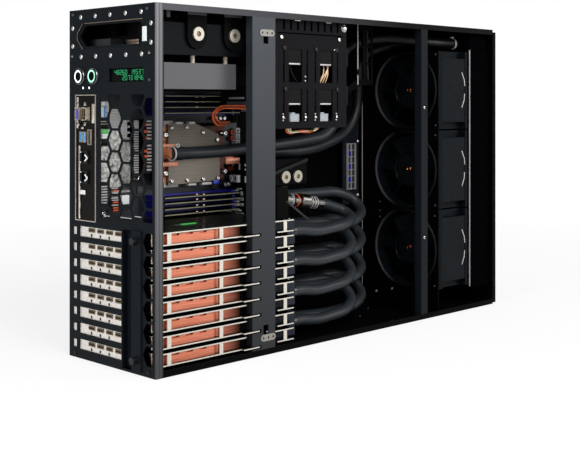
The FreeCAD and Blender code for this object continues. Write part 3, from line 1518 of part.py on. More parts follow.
def cable_guide():
    """Hanging ladder-shaped cable guide with a slanted foot."""
    rear = "guide_rear"
    front = "guide_front"
    arm = "guide_slot_wide"
    points = [(rear, f"guide_low + {arm}"), ("guide_foot_x", f"guide_foot_z + {arm}"),
              ("guide_foot_x", "guide_foot_z"), (f"{rear} + {arm}", "guide_low"), (front, "guide_low"),
              (front, "height - wall"), (rear, "height - wall")]
    blank = padded("guide_blank", "XZ_Plane", points, "wall", ("0", "guide_y", "0"))
    tools = []
    half = f"({front} - {rear}) / 2"
    for column in range(2):
        middle = f"{rear} + ({column} + 0.5) * {half}"
        for row in range(3):
            low = f"guide_low + {arm} + {row} * (guide_slot_tall + 2 * wall)"
            tools.append(box(f"guide_slot_{column}_{row}", around(middle, "guide_slot_wide / 2"),
                             ("guide_y - wall", "guide_y + 2 * wall"), (low, f"{low} + guide_slot_tall")))
    node("cable_guide", cut("cable_guide", blank, *tools))


shell_walls()
control_panel()
vent_panel()
slot_panel()
card_retainer()
switches()
display()
io_ports()
braces()
main_board()
processor()
power_parts()
cards()
coolant_blocks()
quick_coupling()
hoses()
wire_leads()
fan_wall()
for fan in FANS:
    fan_frame(fan)
    fan_rotor(fan)
radiator()
front_panel()
drive_cage()
cable_guide()
doc.recompute()

for thing in doc.Objects:
    if "Invalid" in thing.State or "Error" in thing.State:
        raise ValueError(f"{thing.Label} failed to build")
for thing in nodes:
    if thing.Shape.isNull() or not thing.Shape.isValid():
        raise ValueError(f"{thing.Label} has no valid shape")

os.makedirs("parts", exist_ok=True)
for thing in nodes:
    thing.Shape.exportStep(f"parts/{thing.Label}.step")
print(len(nodes), "nodes written")
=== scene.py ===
import math

import bmesh
import bpy
from mathutils import Matrix, Vector


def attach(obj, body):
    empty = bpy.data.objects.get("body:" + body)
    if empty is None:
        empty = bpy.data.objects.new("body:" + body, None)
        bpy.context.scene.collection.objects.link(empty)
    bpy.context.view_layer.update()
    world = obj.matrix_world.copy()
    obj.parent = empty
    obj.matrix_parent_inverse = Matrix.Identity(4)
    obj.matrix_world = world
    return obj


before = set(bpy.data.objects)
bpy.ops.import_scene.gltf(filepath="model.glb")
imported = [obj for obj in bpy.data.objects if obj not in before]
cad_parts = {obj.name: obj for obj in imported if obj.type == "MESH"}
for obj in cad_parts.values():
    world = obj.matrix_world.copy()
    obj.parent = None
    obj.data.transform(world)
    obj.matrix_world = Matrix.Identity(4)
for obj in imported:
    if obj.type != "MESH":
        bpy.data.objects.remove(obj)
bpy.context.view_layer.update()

MM = 0.001
LENGTH = 681.0
WIDTH = 177.0
HEIGHT = 439.0
BODY = "chassis"


def spot(x, y, z):
    """A place measured from the rear wall, the open side and the floor, in mm, as a point of the frame."""
    return Vector((x - LENGTH / 2, y - WIDTH / 2, z)) * MM


# Colours and nodes

def linear(code):
    """A colour written as an sRGB hex value, as the linear values that a shader takes."""
    levels = [int(code[i:i + 2], 16) / 255 for i in (1, 3, 5)]
    return tuple(v / 12.92 if v <= 0.04045 else ((v + 0.055) / 1.055) ** 2.4 for v in levels) + (1.0,)


def add(tree, kind, settings=None, links=None):
    """Adds one shader node, sets its options and inputs, and links its inputs to other nodes' outputs."""
    node = tree.nodes.new("ShaderNode" + kind)
    for name, value in (settings or {}).items():
        if isinstance(name, str) and hasattr(node, name) and name not in node.inputs:
            setattr(node, name, value)
        else:
            node.inputs[name].default_value = value
    for name, socket in (links or {}).items():
        tree.links.new(socket, node.inputs[name])
    return node


def per_metre(size_mm):
    """The scale at which one cell of a texture is as large as the size given."""
    return 1000.0 / size_mm


# The levels of the noise between which a finish goes from its dark colour to its light one
GRAIN_LOW = 0.3
GRAIN_HIGH = 0.7


def surface(name, dark, light, grain_mm, bump_mm, rough, gloss=0.5, metal=0.0, stretch=(1, 1, 1)):
    """A finish with a fine grain: two colours, a band of roughness and a bump share one noise."""
    material = bpy.data.materials.new(name)
    material.use_nodes = True
    tree = material.node_tree
    tree.nodes.clear()
    place = add(tree, "TexCoord")
    turn = add(tree, "Mapping", {"Scale": stretch}, {"Vector": place.outputs["Object"]})
    grain = add(tree, "TexNoise", {"Scale": per_metre(grain_mm), "Detail": 3.0, "Roughness": 0.6},
                {"Vector": turn.outputs["Vector"]})
    ramp = add(tree, "ValToRGB", None, {"Fac": grain.outputs["Fac"]})
    for stop, level, code in zip(ramp.color_ramp.elements, (GRAIN_LOW, GRAIN_HIGH), (dark, light)):
        stop.position = level
        stop.color = linear(code)
    band = add(tree, "MapRange",
               {"From Min": GRAIN_LOW, "From Max": GRAIN_HIGH, "To Min": rough[0], "To Max": rough[1]},
               {"Value": grain.outputs["Fac"]})
    face = add(tree, "BsdfPrincipled", {"Specular IOR Level": gloss, "Metallic": metal},
               {"Base Color": ramp.outputs["Color"], "Roughness": band.outputs["Result"]})
    if bump_mm:
        relief = add(tree, "Bump", {"Strength": 1.0, "Distance": bump_mm * MM}, {"Height": grain.outputs["Fac"]})
        tree.links.new(relief.outputs["Normal"], face.inputs["Normal"])
    add(tree, "OutputMaterial", None, {"Surface": face.outputs["BSDF"]})
    return material


def shader_of(material):
    """The material's one shader node."""
    return next(node for node in material.node_tree.nodes if node.type == "BSDF_PRINCIPLED")


# Powder-coated steel sheet: the black coat darkened below its own colour as painted shade for the dim inside, with a
# fine dry grain that keeps highlights wide and weak
black_powder = surface("powder_coated_steel_black", "#020203", "#040405", 0.9, 0.03, (0.55, 0.7), gloss=0.03)
# The same coat on the drive plate, painted lighter as painted light, since the plate lies close to the open side
plate_powder = surface("powder_coated_steel_plate", "#0B0B0D", "#121216", 0.9, 0.03, (0.55, 0.7), gloss=0.05)
# The same coat on the rear plates, painted lighter as painted light, since they face the light
rear_powder = surface("powder_coated_steel_rear", "#0A0E12", "#10161B", 0.9, 0.03, (0.5, 0.65), gloss=0.08)
# Satin enamel on folded steel: an even graphite grey with a soft sheen
graphite_enamel = surface("satin_enamel_graphite", "#21262C", "#282D34", 1.6, 0.01, (0.4, 0.5), gloss=0.3)
# Satin mid grey on the controller's box, painted light: the box's black coat is drawn grey where it is strongly lit
grey_and_lit_coat = surface("satin_grey_and_painted_light", "#3F3E41", "#4A494C", 1.4, 0.01, (0.42, 0.55), gloss=0.4)
# Satin enamel on the corner post, with painted light: a painted highlight on one fold, painted shade beside it and on
# the faces past it, and painted shade darkening it towards the floor
post_enamel = surface("satin_enamel_post", "#5C5B5E", "#686769", 1.4, 0.01, (0.42, 0.55), gloss=0.3)
# The coat of the top wall, with a painted highlight in grey along the lip towards the rear, and painted shade darkening
# the wall towards the front
top_powder = surface("powder_coated_steel_top_painted_light", "#040405", "#070708", 0.9, 0.03, (0.55, 0.7), gloss=0.05)
# Zinc-plated steel: a pale metal with cloudy patches of brighter and duller plating
zinc_plate = surface("zinc_plated_steel", "#D6D2CB", "#F0ECE5", 4.0, 0.01, (0.38, 0.55), metal=0.75)
# Bright nickel plate on stamped steel: warm white metal, fine stamping grain
bright_nickel = surface("nickel_plated_steel_stamped", "#CFC8BC", "#EDE7DB", 1.2, 0.008, (0.2, 0.34), metal=1.0)
# Polished nickel on turned fittings
turned_nickel = surface("nickel_plated_brass_turned", "#B9B8B6", "#DAD9D6", 0.8, 0.006, (0.14, 0.28),
                        metal=1.0, stretch=(12, 1, 1))
# Milled copper: tool marks run along the plate, with lighter and darker bands
milled_copper = surface("copper_milled", "#BC6C53", "#DC8D72", 3.2, 0.012, (0.42, 0.58),
                        metal=1.0, stretch=(0.06, 1.2, 1.6))
# The same copper on the processor's plate, which is brighter
cpu_copper = surface("copper_milled_bright", "#C0694C", "#DC8768", 3.2, 0.012, (0.4, 0.55),
                     metal=0.7, stretch=(0.06, 1.2, 1.6))
# Nickel plate on the cards' frames; the faces that look up are painted near black as painted shade under the card above
frame_nickel = surface("nickel_plated_steel_frames", "#C9C3B9", "#E8E2D7", 1.2, 0.008, (0.2, 0.34),
                       gloss=0.04, metal=1.0)
# Brushed nickel over copper on the processor's cover: grey brown with long brush lines
brushed_cover = surface("nickel_plate_brushed", "#5E5952", "#736D65", 2.0, 0.01, (0.42, 0.55),
                        metal=1.0, stretch=(0.05, 1, 1.5))
# Solder mask over laminate: blue black, faintly glossy, mottled by the copper beneath
solder_mask = surface("solder_mask_dark_blue", "#0B0E14", "#171C26", 5.0, 0.02, (0.35, 0.5), gloss=0.35)
# Moulded nylon in deep blue on the memory sockets
blue_nylon = surface("nylon_moulded_blue", "#12127A", "#1C1CA0", 1.0, 0.01, (0.4, 0.52), gloss=0.35)
# Moulded nylon in black on sockets and card ends
black_nylon = surface("nylon_moulded_black", "#070809", "#0D0E10", 0.8, 0.015, (0.45, 0.6), gloss=0.18)
# Machined acetal on pump, manifold and reservoir: black with a waxy sheen
black_acetal = surface("acetal_machined_black", "#030304", "#060607", 1.6, 0.012, (0.4, 0.52),
                       gloss=0.03, stretch=(1, 1, 3))
# Machined acetal of the reservoir, a lighter copy as painted light, brightest at the rear and darker towards the front
tank_acetal = surface("acetal_machined_tank", "#070A0C", "#0C1013", 1.6, 0.012, (0.4, 0.52),
                      gloss=0.04, stretch=(1, 1, 3))
# Glass-filled plastic on the fans: blue black with cloudy patches
fan_plastic = surface("glass_filled_plastic_black", "#030507", "#0E1418", 9.0, 0.02, (0.45, 0.6),
                      gloss=0.06, stretch=(1, 2.5, 1))
# Stamped steel of the card ports: bronze-tinted plate
port_plate = surface("port_shell_plated", "#8D7B6C", "#B3A293", 1.0, 0.006, (0.28, 0.42), metal=1.0)
# Rubber hose: extruded, charcoal, with a soft long highlight
hose_rubber = surface("rubber_hose_extruded", "#1B1E21", "#25292D", 1.4, 0.015, (0.34, 0.46), gloss=0.22)
# Coated aluminium of the radiator and heatsink: near black with a dull metal sheen
coated_aluminium = surface("aluminium_coated_black", "#020203", "#050507", 1.0, 0.02, (0.6, 0.75), gloss=0.0)
# Cast aluminium of the drives and the supply's case, painted near black as painted shade for the dim inside
aluminium_in_shade = surface("aluminium_cast_painted_shade", "#0B0A0A", "#131111", 1.6, 0.04, (0.5, 0.62), gloss=0.06)
# Turned steel of the switches
turned_steel = surface("stainless_steel_turned", "#8E9294", "#C9CCCD", 0.5, 0.004, (0.2, 0.34), metal=1.0)
# Stamped steel of the port plate
port_steel = surface("stainless_steel_stamped", "#6E6252", "#D6CBBA", 1.6, 0.05, (0.3, 0.42),
                     metal=0.3, stretch=(1, 0.5, 1))
# Clear lamp caps and switch rings, lit from behind: white on the power side, mint on the other
lamp_cap = surface("polycarbonate_lamp_clear", "#EEF3F4", "#FFFFFF", 0.6, 0, (0.15, 0.25))
# Port plate: stamped steel whose face lies in shade behind its bright rim
shield_steel = surface("stainless_steel_stamped_rim", "#BDB3A6", "#E9E1D5", 1.4, 0.008, (0.3, 0.42),
                       gloss=0.05, metal=0.8)
# Hose fittings: plated brass, bare copper at the processor and black at the cards
fitting_plate = surface("brass_fitting_plated", "#B9B8B6", "#DAD9D6", 0.8, 0.006, (0.16, 0.3),
                        metal=1.0, stretch=(12, 1, 1))
# Memory boards: dark mask with pale bare laminate along the cut edge
memory_board = surface("memory_laminate", "#06080B", "#0D1116", 4.0, 0.01, (0.4, 0.55), gloss=0.25)
# Nylon housings at the card ends, in dark rows
terminal_nylon = surface("nylon_moulded_terminals", "#0A0B0D", "#121418", 0.8, 0.015, (0.45, 0.6), gloss=0.12)
# Zinc die castings behind the vent: mottled, from dull to bright
mottled_zinc = surface("zinc_die_cast_mottled", "#17191D", "#D6D4CF", 4.6, 0.5, (0.4, 0.6), metal=0.15)
# Bare aluminium, pale and dull: bare sheared edges and small metal parts, and strips that are painted highlights on lit
# edges
bare_metal_and_highlights = surface("aluminium_bare_and_painted_highlights", "#9A9898", "#B6B3B2", 0.8, 0.01, (0.35, 0.5), metal=0.15)
# Forged copper of the cold plate's lugs, bright and pink
lug_copper = surface("copper_forged_bright", "#CF8264", "#EBA183", 1.6, 0.02, (0.35, 0.5), metal=0.3)
# Turned copper caps on the fans' hubs
cap_copper = surface("copper_turned_cap", "#B5653A", "#E09A62", 0.8, 0.004, (0.15, 0.25), metal=1.0)
# Zinc plate of the brace latches: dull and pale
latch_zinc = surface("zinc_plated_latch", "#6E6A64", "#86827B", 1.2, 0.01, (0.4, 0.5), metal=0.15)
# Tinned copper strands
strand_copper = surface("copper_strands_tinned", "#C79F74", "#E9CDA6", 0.8, 0.02, (0.35, 0.5), metal=0.1)
# Dull nickel of the pressure plugs, and darker chrome on the quick coupling
plug_nickel = surface("nickel_plated_brass_dull", "#857F75", "#ADA79B", 1.0, 0.006, (0.32, 0.46), metal=0.6)
coupling_chrome = surface("chrome_plated_brass_turned", "#5E5A56", "#9C9893", 1.2, 0.006, (0.12, 0.24),
                          metal=1.0, stretch=(12, 1, 1))
# Plated shells of the cards' ports, dark bronze inside
port_bronze = surface("port_shell_bronze", "#33260F", "#8E7858", 2.0, 0.05, (0.3, 0.45), metal=0.5)
# Nylon of the drives' plugs, in the shade of their plate
plug_nylon = surface("nylon_moulded_pale", "#7F848B", "#9DA2AA", 0.8, 0.01, (0.4, 0.55))
# Ribbed nylon sleeve
ribbed_nylon = surface("nylon_sleeve_ribbed", "#1C1D1F", "#2A2B2D", 0.8, 0.01, (0.4, 0.55), gloss=0.1)
# Rubber lip round each fan's mouth, with a painted highlight: pale on the side away from the open wall
lip_rubber = surface("rubber_lip_moulded", "#2C2C30", "#3A3A3E", 3.0, 0.02, (0.4, 0.55), gloss=0.2)
# Perforated steel behind the vent
perforated_steel = surface("stainless_steel_perforated", "#8C8C8B", "#B0B0AE", 1.5, 0.01, (0.4, 0.5), metal=0.1)
# Black oxide on small socket screws
black_oxide = surface("steel_black_oxide", "#141516", "#222426", 0.6, 0.006, (0.3, 0.45), metal=0.6)
# Lead insulation: extruded, bright orange, with a black plug
lead_skin = surface("pvc_insulation_orange_leads", "#D1480E", "#F06A22", 0.8, 0.008, (0.38, 0.5))


TINT_GRAIN = 1.5
LOOKS_THAT_WAY = 0.7


def tint(material, axis, low, high, dark, light, metallic, facing_too=None):
    """Between two planes, in mm in the measuring frame, gives the finish other colours and another share of metal.

    With facing_too, an axis and a side, only the surfaces that look that way change.
    """
    tree = material.node_tree
    face = shader_of(material)
    corner = spot(0, 0, 0)["XYZ".index(axis)]
    place = add(tree, "TexCoord")
    parts = add(tree, "SeparateXYZ", None, {"Vector": place.outputs["Object"]})
    above = add(tree, "Math", {"operation": "GREATER_THAN", 1: corner + low * MM}, {0: parts.outputs[axis]})
    if facing_too:
        slant = add(tree, "SeparateXYZ", None, {"Vector": place.outputs["Normal"]})
        turned = add(tree, "Math", {"operation": "MULTIPLY", 1: facing_too[1]}, {0: slant.outputs[facing_too[0]]})
        flat = add(tree, "Math", {"operation": "GREATER_THAN", 1: LOOKS_THAT_WAY}, {0: turned.outputs[0]})
        above = add(tree, "Math", {"operation": "MULTIPLY"}, {0: above.outputs[0], 1: flat.outputs[0]})
    below = add(tree, "Math", {"operation": "LESS_THAN", 1: corner + high * MM}, {0: parts.outputs[axis]})
    both = add(tree, "Math", {"operation": "MULTIPLY"}, {0: above.outputs[0], 1: below.outputs[0]})
    grain = add(tree, "TexNoise", {"Scale": per_metre(TINT_GRAIN)}, {"Vector": place.outputs["Object"]})
    shade = add(tree, "Mix", {"data_type": "RGBA", 6: linear(dark), 7: linear(light)}, {0: grain.outputs["Fac"]})
    colour = add(tree, "Mix", {"data_type": "RGBA"},
                 {0: both.outputs[0], 6: face.inputs["Base Color"].links[0].from_socket, 7: shade.outputs[2]})
    tree.links.new(colour.outputs[2], face.inputs["Base Color"])
    metal = face.inputs["Metallic"]
    share = add(tree, "MapRange", {"To Min": metal.default_value, "To Max": metallic}, {"Value": both.outputs[0]})
    if metal.is_linked:
        tree.links.new(metal.links[0].from_socket, share.inputs["To Min"])
    tree.links.new(share.outputs["Result"], metal)
    return colour


def fade(material, axis, start, end, low, high):
    """Scales the finish's colour along an axis, from one share at the start to another at the end, in mm."""
    tree = material.node_tree
    face = shader_of(material)
    corner = spot(0, 0, 0)["XYZ".index(axis)]
    place = add(tree, "TexCoord")
    parts = add(tree, "SeparateXYZ", None, {"Vector": place.outputs["Object"]})
    share = add(tree, "MapRange",
                {"From Min": corner + start * MM, "From Max": corner + end * MM, "To Min": low, "To Max": high},
                {"Value": parts.outputs[axis]})
    colour = add(tree, "Mix", {"data_type": "RGBA", "blend_type": "MULTIPLY", 0: 1.0},
                 {6: face.inputs["Base Color"].links[0].from_socket, 7: share.outputs["Result"]})
    tree.links.new(colour.outputs[2], face.inputs["Base Color"])


def rows(material, axes, pitch, share, dark):
    """Draws dark rows across one axis, or spots across two, at a pitch in mm."""
    tree = material.node_tree
    face = shader_of(material)
    place = add(tree, "TexCoord")
    waves = [add(tree, "TexWave", {"bands_direction": axis, "Scale": math.pi / (10 * pitch * MM)},
                 {"Vector": place.outputs["Object"]}).outputs["Fac"] for axis in axes]
    both = add(tree, "Math", {"operation": "MULTIPLY"}, {0: waves[0], 1: waves[-1]})
    hole = add(tree, "Math", {"operation": "GREATER_THAN", 1: share}, {0: both.outputs[0]})
    colour = add(tree, "Mix", {"data_type": "RGBA", 7: linear(dark)},
                 {0: hole.outputs[0], 6: face.inputs["Base Color"].links[0].from_socket})
    tree.links.new(colour.outputs[2], face.inputs["Base Color"])


# Past every face of the part, in mm
FAR_OUT = 1000
MINT_BELOW_Y = 138
# Corner post: painted highlight on a fold, painted shade beside it and past X 9.7, and painted shade towards the floor
tint(post_enamel, "X", 2.6, 4.1, "#75747A", "#828186", 0.0)
tint(post_enamel, "X", 4.1, 5.5, "#2A2A2D", "#343437", 0.0)
tint(post_enamel, "X", 9.7, FAR_OUT, "#2A2A2D", "#343437", 0.0)
fade(post_enamel, "Z", 0, HEIGHT, 0.2, 1.0)
# Top wall: painted highlight on the lip, and painted shade towards the front
tint(top_powder, "Z", 430, FAR_OUT, "#47464A", "#525155", 0.0, ("Y", -1))
fade(top_powder, "X", 10, 460, 1.0, 0.04)
# Painted shade: the brace darkens towards the floor
fade(graphite_enamel, "Z", 0, HEIGHT, 0.28, 1.0)
tint(grey_and_lit_coat, "Z", 371.3, 380.4, "#B4A792", "#D8CDBB", 0.2)
# Painted shade: the cards' copper darkens towards the brace, in its shadow
fade(milled_copper, "X", 108, 147, 1.0, 0.1)
# Painted shade: the frames' faces that look up, under the card above, are near black
tint(frame_nickel, "Z", 0, FAR_OUT, "#040405", "#08090A", 0.0, ("Z", 1))
# Painted light: the reservoir lighter at the rear, darker towards the front
fade(tank_acetal, "X", 30, 176, 1.2, 0.6)
tint(terminal_nylon, "X", 196, FAR_OUT, "#1F252D", "#2D343E", 0.0)
rows(terminal_nylon, "Z", 2.4, 0.35, "#030304")
rows(ribbed_nylon, "X", 3.0, 0.45, "#030303")
rows(perforated_steel, "XZ", 1.9, 0.3, "#4C4C4D")
fade(mottled_zinc, "X", 44, 48, 1.0, 0.55)
# Painted shade on the processor's copper: near black above Z 277, dark brown beside the cover between X 205 and 231
tint(cpu_copper, "Z", 277, FAR_OUT, "#140D0A", "#2A1710", 0.3)
tint(cpu_copper, "X", 205, 231, "#3A1C12", "#5E2C1B", 0.5)
# Painted shade: the hoses darken towards the fans and towards the top
fade(hose_rubber, "X", 400, 500, 1.0, 0.4)
fade(hose_rubber, "Z", 285, 320, 1.0, 0.4)
# Painted shade: the processor's cover darkens from X 165 to 215
fade(brushed_cover, "X", 165, 215, 1.0, 0.7)
rows(memory_board, "X", 4.6, 0.72, "#16171A")
# Painted shade: the memory boards darken towards their top
fade(memory_board, "Z", 300, 316, 1.0, 0.62)
# Painted shade: the memory sockets darken towards the top
fade(blue_nylon, "Z", 230, 312, 1.0, 0.4)
# Painted highlight: the fan lips pale on the far side, dark on the near side
fade(lip_rubber, "Y", 84, 116, 0.05, 1.3)
tint(shield_steel, "X", 0.3, FAR_OUT, "#0C0A09", "#13100E", 0.0)
tint(fitting_plate, "X", -FAR_OUT, 130, "#B5633F", "#E08A66", 0.4)
tint(fitting_plate, "X", 245, 263, "#050506", "#0B0B0C", 0.0)
tint(memory_board, "Y", -FAR_OUT, 129.3, "#6E6A57", "#8E8A72", 0.0)
tint(lead_skin, "X", 256.2, FAR_OUT, "#060607", "#0C0C0D", 0.0)
tint(lamp_cap, "Y", -FAR_OUT, MINT_BELOW_Y, "#8FE8B8", "#B9F5D4", 0.0)
glow = tint(lamp_cap, "X", -1, FAR_OUT, "#EEF3F4", "#FFFFFF", 0.0)
lamp_cap.node_tree.links.new(glow.outputs[2], shader_of(lamp_cap).inputs["Emission Color"])
shader_of(lamp_cap).inputs["Emission Strength"].default_value = 0.9

FINISHES = {
    black_powder: ["base_wall", "far_wall", "front_panel", "fan_wall", "cable_guide"],
    plate_powder: ["drive_plate"],
    top_powder: ["top_wall"],
    rear_powder: ["control_panel", "io_panel", "vent_grille", "slot_panel", "card_retainer", "front_brace"],
    graphite_enamel: ["gpu_brace"],
    grey_and_lit_coat: ["controller_box"],
    post_enamel: ["corner_post"],
    zinc_plate: ["gpu_brackets"],
    latch_zinc: ["brace_latches"],
    frame_nickel: ["gpu_frames"],
    port_steel: ["d_sub_ports", "usb_ports"],
    shield_steel: ["io_shield"],
    fitting_plate: ["hose_fittings"],
    plug_nickel: ["port_plugs"],
    coupling_chrome: ["coupling_body", "coupling_collar"],
    milled_copper: ["gpu_cold_plates"],
    cpu_copper: ["cpu_cold_plate"],
    brushed_cover: ["cpu_block_top"],
    solder_mask: ["motherboard", "hub_board", "gpu_boards"],
    memory_board: ["memory_modules"],
    lead_skin: ["wire_leads"],
    blue_nylon: ["dimm_sockets"],
    black_nylon: ["pcie_slots", "cpu_socket", "display_module", "lan_ports"],
    terminal_nylon: ["gpu_terminals"],
    black_oxide: ["retainer_thumbscrews"],
    black_acetal: ["coolant_manifold", "pump_block", "power_button", "reset_button"],
    tank_acetal: ["reservoir"],
    fan_plastic: ["fan_frame_1", "fan_frame_2", "fan_frame_3", "fan_rotor_1", "fan_rotor_2", "fan_rotor_3"],
    port_bronze: ["gpu_port_shells"],
    hose_rubber: ["coolant_hoses"],
    coated_aluminium: ["radiator"],
    mottled_zinc: ["vrm_heatsink"],
    aluminium_in_shade: ["drives", "power_supply"],
    turned_steel: ["switch_bodies"],
    lamp_cap: ["indicator_lights"],
}
for material, names in FINISHES.items():
    for name in names:
        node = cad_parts[name]
        node.data.materials.clear()
        node.data.materials.append(material)

# Modelling helpers

TURN = {"x": (0, math.pi / 2, 0), "y": (math.pi / 2, 0, 0), "z": (0, 0, 0)}


def deselect():
    """Object mode with nothing selected, so that the next operator acts on one piece alone."""
    if bpy.context.mode != "OBJECT":
        bpy.ops.object.mode_set(mode="OBJECT")
    bpy.ops.object.select_all(action="DESELECT")


def only(piece):
    """Selects one piece alone and makes it the active one."""
    deselect()
    piece.select_set(True)
    bpy.context.view_layer.objects.active = piece


def settle():
    """Takes the place, turn and size of the active piece into its mesh."""
    bpy.ops.object.transform_apply(location=True, rotation=True, scale=True)
    return bpy.context.object


def start_box(x, y, z):
    """A block of that size in mm at the origin, as a start."""
    deselect()
    bpy.ops.mesh.primitive_cube_add(size=MM)
    bpy.context.object.scale = (x, y, z)
    return settle()


def start_disc(radius, thick, axis, sides):
    """A disc of that size in mm at the origin, as a start."""
    deselect()
    bpy.ops.mesh.primitive_cylinder_add(vertices=sides, radius=radius * MM, depth=thick * MM, rotation=TURN[axis])
    return settle()


def start_ring(radius, wire, axis, sides, wire_sides):
    """A ring of round wire of that size in mm at the origin, as a start."""
    deselect()
    bpy.ops.mesh.primitive_torus_add(major_radius=radius * MM, minor_radius=wire * MM, major_segments=sides,
                                     minor_segments=wire_sides, rotation=TURN[axis])
    return settle()


def edit(piece):
    """Opens the piece in edit mode, on faces."""
    only(piece)
    bpy.ops.object.mode_set(mode="EDIT")
    bpy.ops.mesh.select_mode(type="FACE")


# Ways that a face can look, each an axis and a side of it
REAR = ("x", -1)
OPEN = ("y", -1)
UP = ("z", 1)
DOWN = ("z", -1)
FACES_THAT_WAY = 0.9


def pick(way):
    """Selects the faces that look one way."""
    axis, side = way
    bpy.ops.mesh.select_all(action="DESELECT")
    mesh = bmesh.from_edit_mesh(bpy.context.object.data)
    for face in mesh.faces:
        face.select_set(face.normal["xyz".index(axis)] * side > FACES_THAT_WAY)
    bmesh.update_edit_mesh(bpy.context.object.data)


def move(x, y, z):
    """Moves what is selected, in mm."""
    bpy.ops.transform.translate(value=(x * MM, y * MM, z * MM))


def inset(margin, depth=0.0):
    """Insets what is selected, in mm; a depth below zero sinks it."""
    bpy.ops.mesh.inset(thickness=margin * MM, depth=depth * MM)


def carve(piece, way, *steps):
    """Insets the faces that look one way, once for each margin and depth in mm, each time inside the last."""
    edit(piece)
    pick(way)
    for step in steps:
        inset(*step)
    bpy.ops.object.mode_set(mode="OBJECT")
    return piece


# Edges sharper than the first angle are rounded; those flatter than the second are shaded smooth, in degrees
ROUNDED_FROM = 40
SMOOTH_UP_TO = 35


def soften(piece, width):
    """Rounds the piece's edges with a bevel of that width in mm and applies it."""
    only(piece)
    bevel = piece.modifiers.new("edge", "BEVEL")
    bevel.width = width * MM
    bevel.segments = 2
    bevel.limit_method = "ANGLE"
    bevel.angle_limit = math.radians(ROUNDED_FROM)
    bpy.ops.object.modifier_apply(modifier=bevel.name)
    return piece


def join(pieces):
    """Joins several starts into one piece."""
    deselect()
    for piece in pieces:
        piece.select_set(True)
    bpy.context.view_layer.objects.active = pieces[0]
    if len(pieces) > 1:
        bpy.ops.object.join()
    return settle()


def shift(piece, x, y, z):
    """Moves a piece that is still being made, in mm, and keeps its place in its mesh."""
    piece.data.transform(Matrix.Translation(Vector((x, y, z)) * MM))
    return piece


def stand(piece, axis, distance):
    """Moves a piece that is still being made along one axis, in mm."""
    return shift(piece, *[distance if name == axis else 0 for name in "xyz"])


def spin(piece, degrees, axis):
    """Turns a piece that is still being made about the origin."""
    piece.data.transform(Matrix.Rotation(math.radians(degrees), 4, axis.upper()))
    return piece


def finish(piece, name, material, body=BODY):
    """Names a finished piece, gives it its material, and lets it ride on its body."""
    only(piece)
    piece.name = name
    piece.data.name = name
    piece.data.materials.clear()
    piece.data.materials.append(material)
    bpy.ops.object.shade_smooth_by_angle(angle=math.radians(SMOOTH_UP_TO))
    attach(piece, body)


def spread(piece, places):
    """Copies of a piece, each with its own mesh, at places given in mm, joined as one; the start is removed."""
    copies = []
    for place in places:
        copy = bpy.data.objects.new(piece.name, piece.data.copy())
        bpy.context.scene.collection.objects.link(copy)
        copy.data.transform(Matrix.Translation(spot(*place)))
        copies.append(copy)
    bpy.data.objects.remove(piece)
    return join(copies)


def panel(size, way, margin=0.3, depth=0.2):
    """A block whose face on one side is inset and raised, or sunk with a depth below zero, in mm."""
    return carve(start_box(*size), way, (margin, depth))


def slabs(extents, way, margin=0.3, depth=0.2):
    """Small raised plates, each given by where it starts and ends along X, Y and Z in mm, joined as one piece."""
    made = []
    for x, y, z in extents:
        piece = panel((x[1] - x[0], y[1] - y[0], z[1] - z[0]), way, margin, depth)
        made.append(spread(piece, [(sum(x) / 2, sum(y) / 2, sum(z) / 2)]))
    return join(made)


def lead(points, radius):
    """A lead along one smooth line that a few points in mm steer, as a tube with closed ends."""
    line = bpy.data.curves.new("lead", "CURVE")
    line.dimensions = "3D"
    spline = line.splines.new("NURBS")
    spline.points.add(len(points) - 1)
    for knot, place in zip(spline.points, points):
        knot.co = (*spot(*place), 1.0)
    spline.order_u = 3
    spline.use_endpoint_u = True
    line.bevel_depth = radius * MM
    line.bevel_resolution = 2
    line.use_fill_caps = True
    piece = bpy.data.objects.new("lead", line)
    bpy.context.scene.collection.objects.link(piece)
    only(piece)
    bpy.ops.object.convert(target="MESH")
    return bpy.context.object


# Shares of a screw's radius or height: its rounded rim, the flat inside that rim and how deep the drive goes
RIM = 0.25
FLAT = 0.72
SUNK = 0.5
WALL = 0.02
HEAD_SIDES = 20


def screw(radius, high, way, socket=0.5):
    """A screw with a rounded head and a sunk drive, which stands on the plane at zero."""
    axis, side = way
    piece = stand(start_disc(radius, high, axis, HEAD_SIDES), axis, side * high / 2)
    return carve(piece, way, (radius * RIM, high * RIM), (radius * (FLAT - socket),), (WALL, -high * SUNK))


def screws(name, places, radius, high, way, socket=0.5, material=turned_nickel):
    """One piece of equal screws at several places; sizes in mm, and the drive's as a share of the head's."""
    finish(spread(screw(radius, high, way, socket), places), name, material)


# A rivet's foot as a share of its height, and the steps of its dome as shares of radius and height
FOOT = 0.4
DOME = ((0.12, 0.25), (0.22, 0.22), (0.3, 0.13))


def rivet(radius, high, way):
    """A domed rivet head that stands on the plane at zero."""
    axis, side = way
    piece = stand(start_disc(radius, high * FOOT, axis, HEAD_SIDES), axis, side * high * FOOT / 2)
    return carve(piece, way, *[(radius * margin, high * rise) for margin, rise in DOME])


# Materials of the small pieces

# Black glass over the display, smooth and dark
display_glass = surface("display_glass_black", "#010202", "#020303", 6.0, 0, (0.45, 0.5), gloss=0.05)
# Green phosphor figures, lit from within
figure_green = surface("display_figures_green", "#04351F", "#06462A", 0.5, 0, (0.4, 0.5))
shader_of(figure_green).inputs["Emission Color"].default_value = linear("#0B9C5F")
shader_of(figure_green).inputs["Emission Strength"].default_value = 0.9
# Moulded bright blue plastic inside the sockets
socket_blue = surface("nylon_moulded_bright_blue", "#0A78C4", "#129BE6", 0.8, 0, (0.35, 0.5))
# Deep blue insert of the monitor socket
insert_blue = surface("nylon_moulded_royal_blue", "#1A2FA8", "#2940C8", 0.8, 0, (0.35, 0.5))
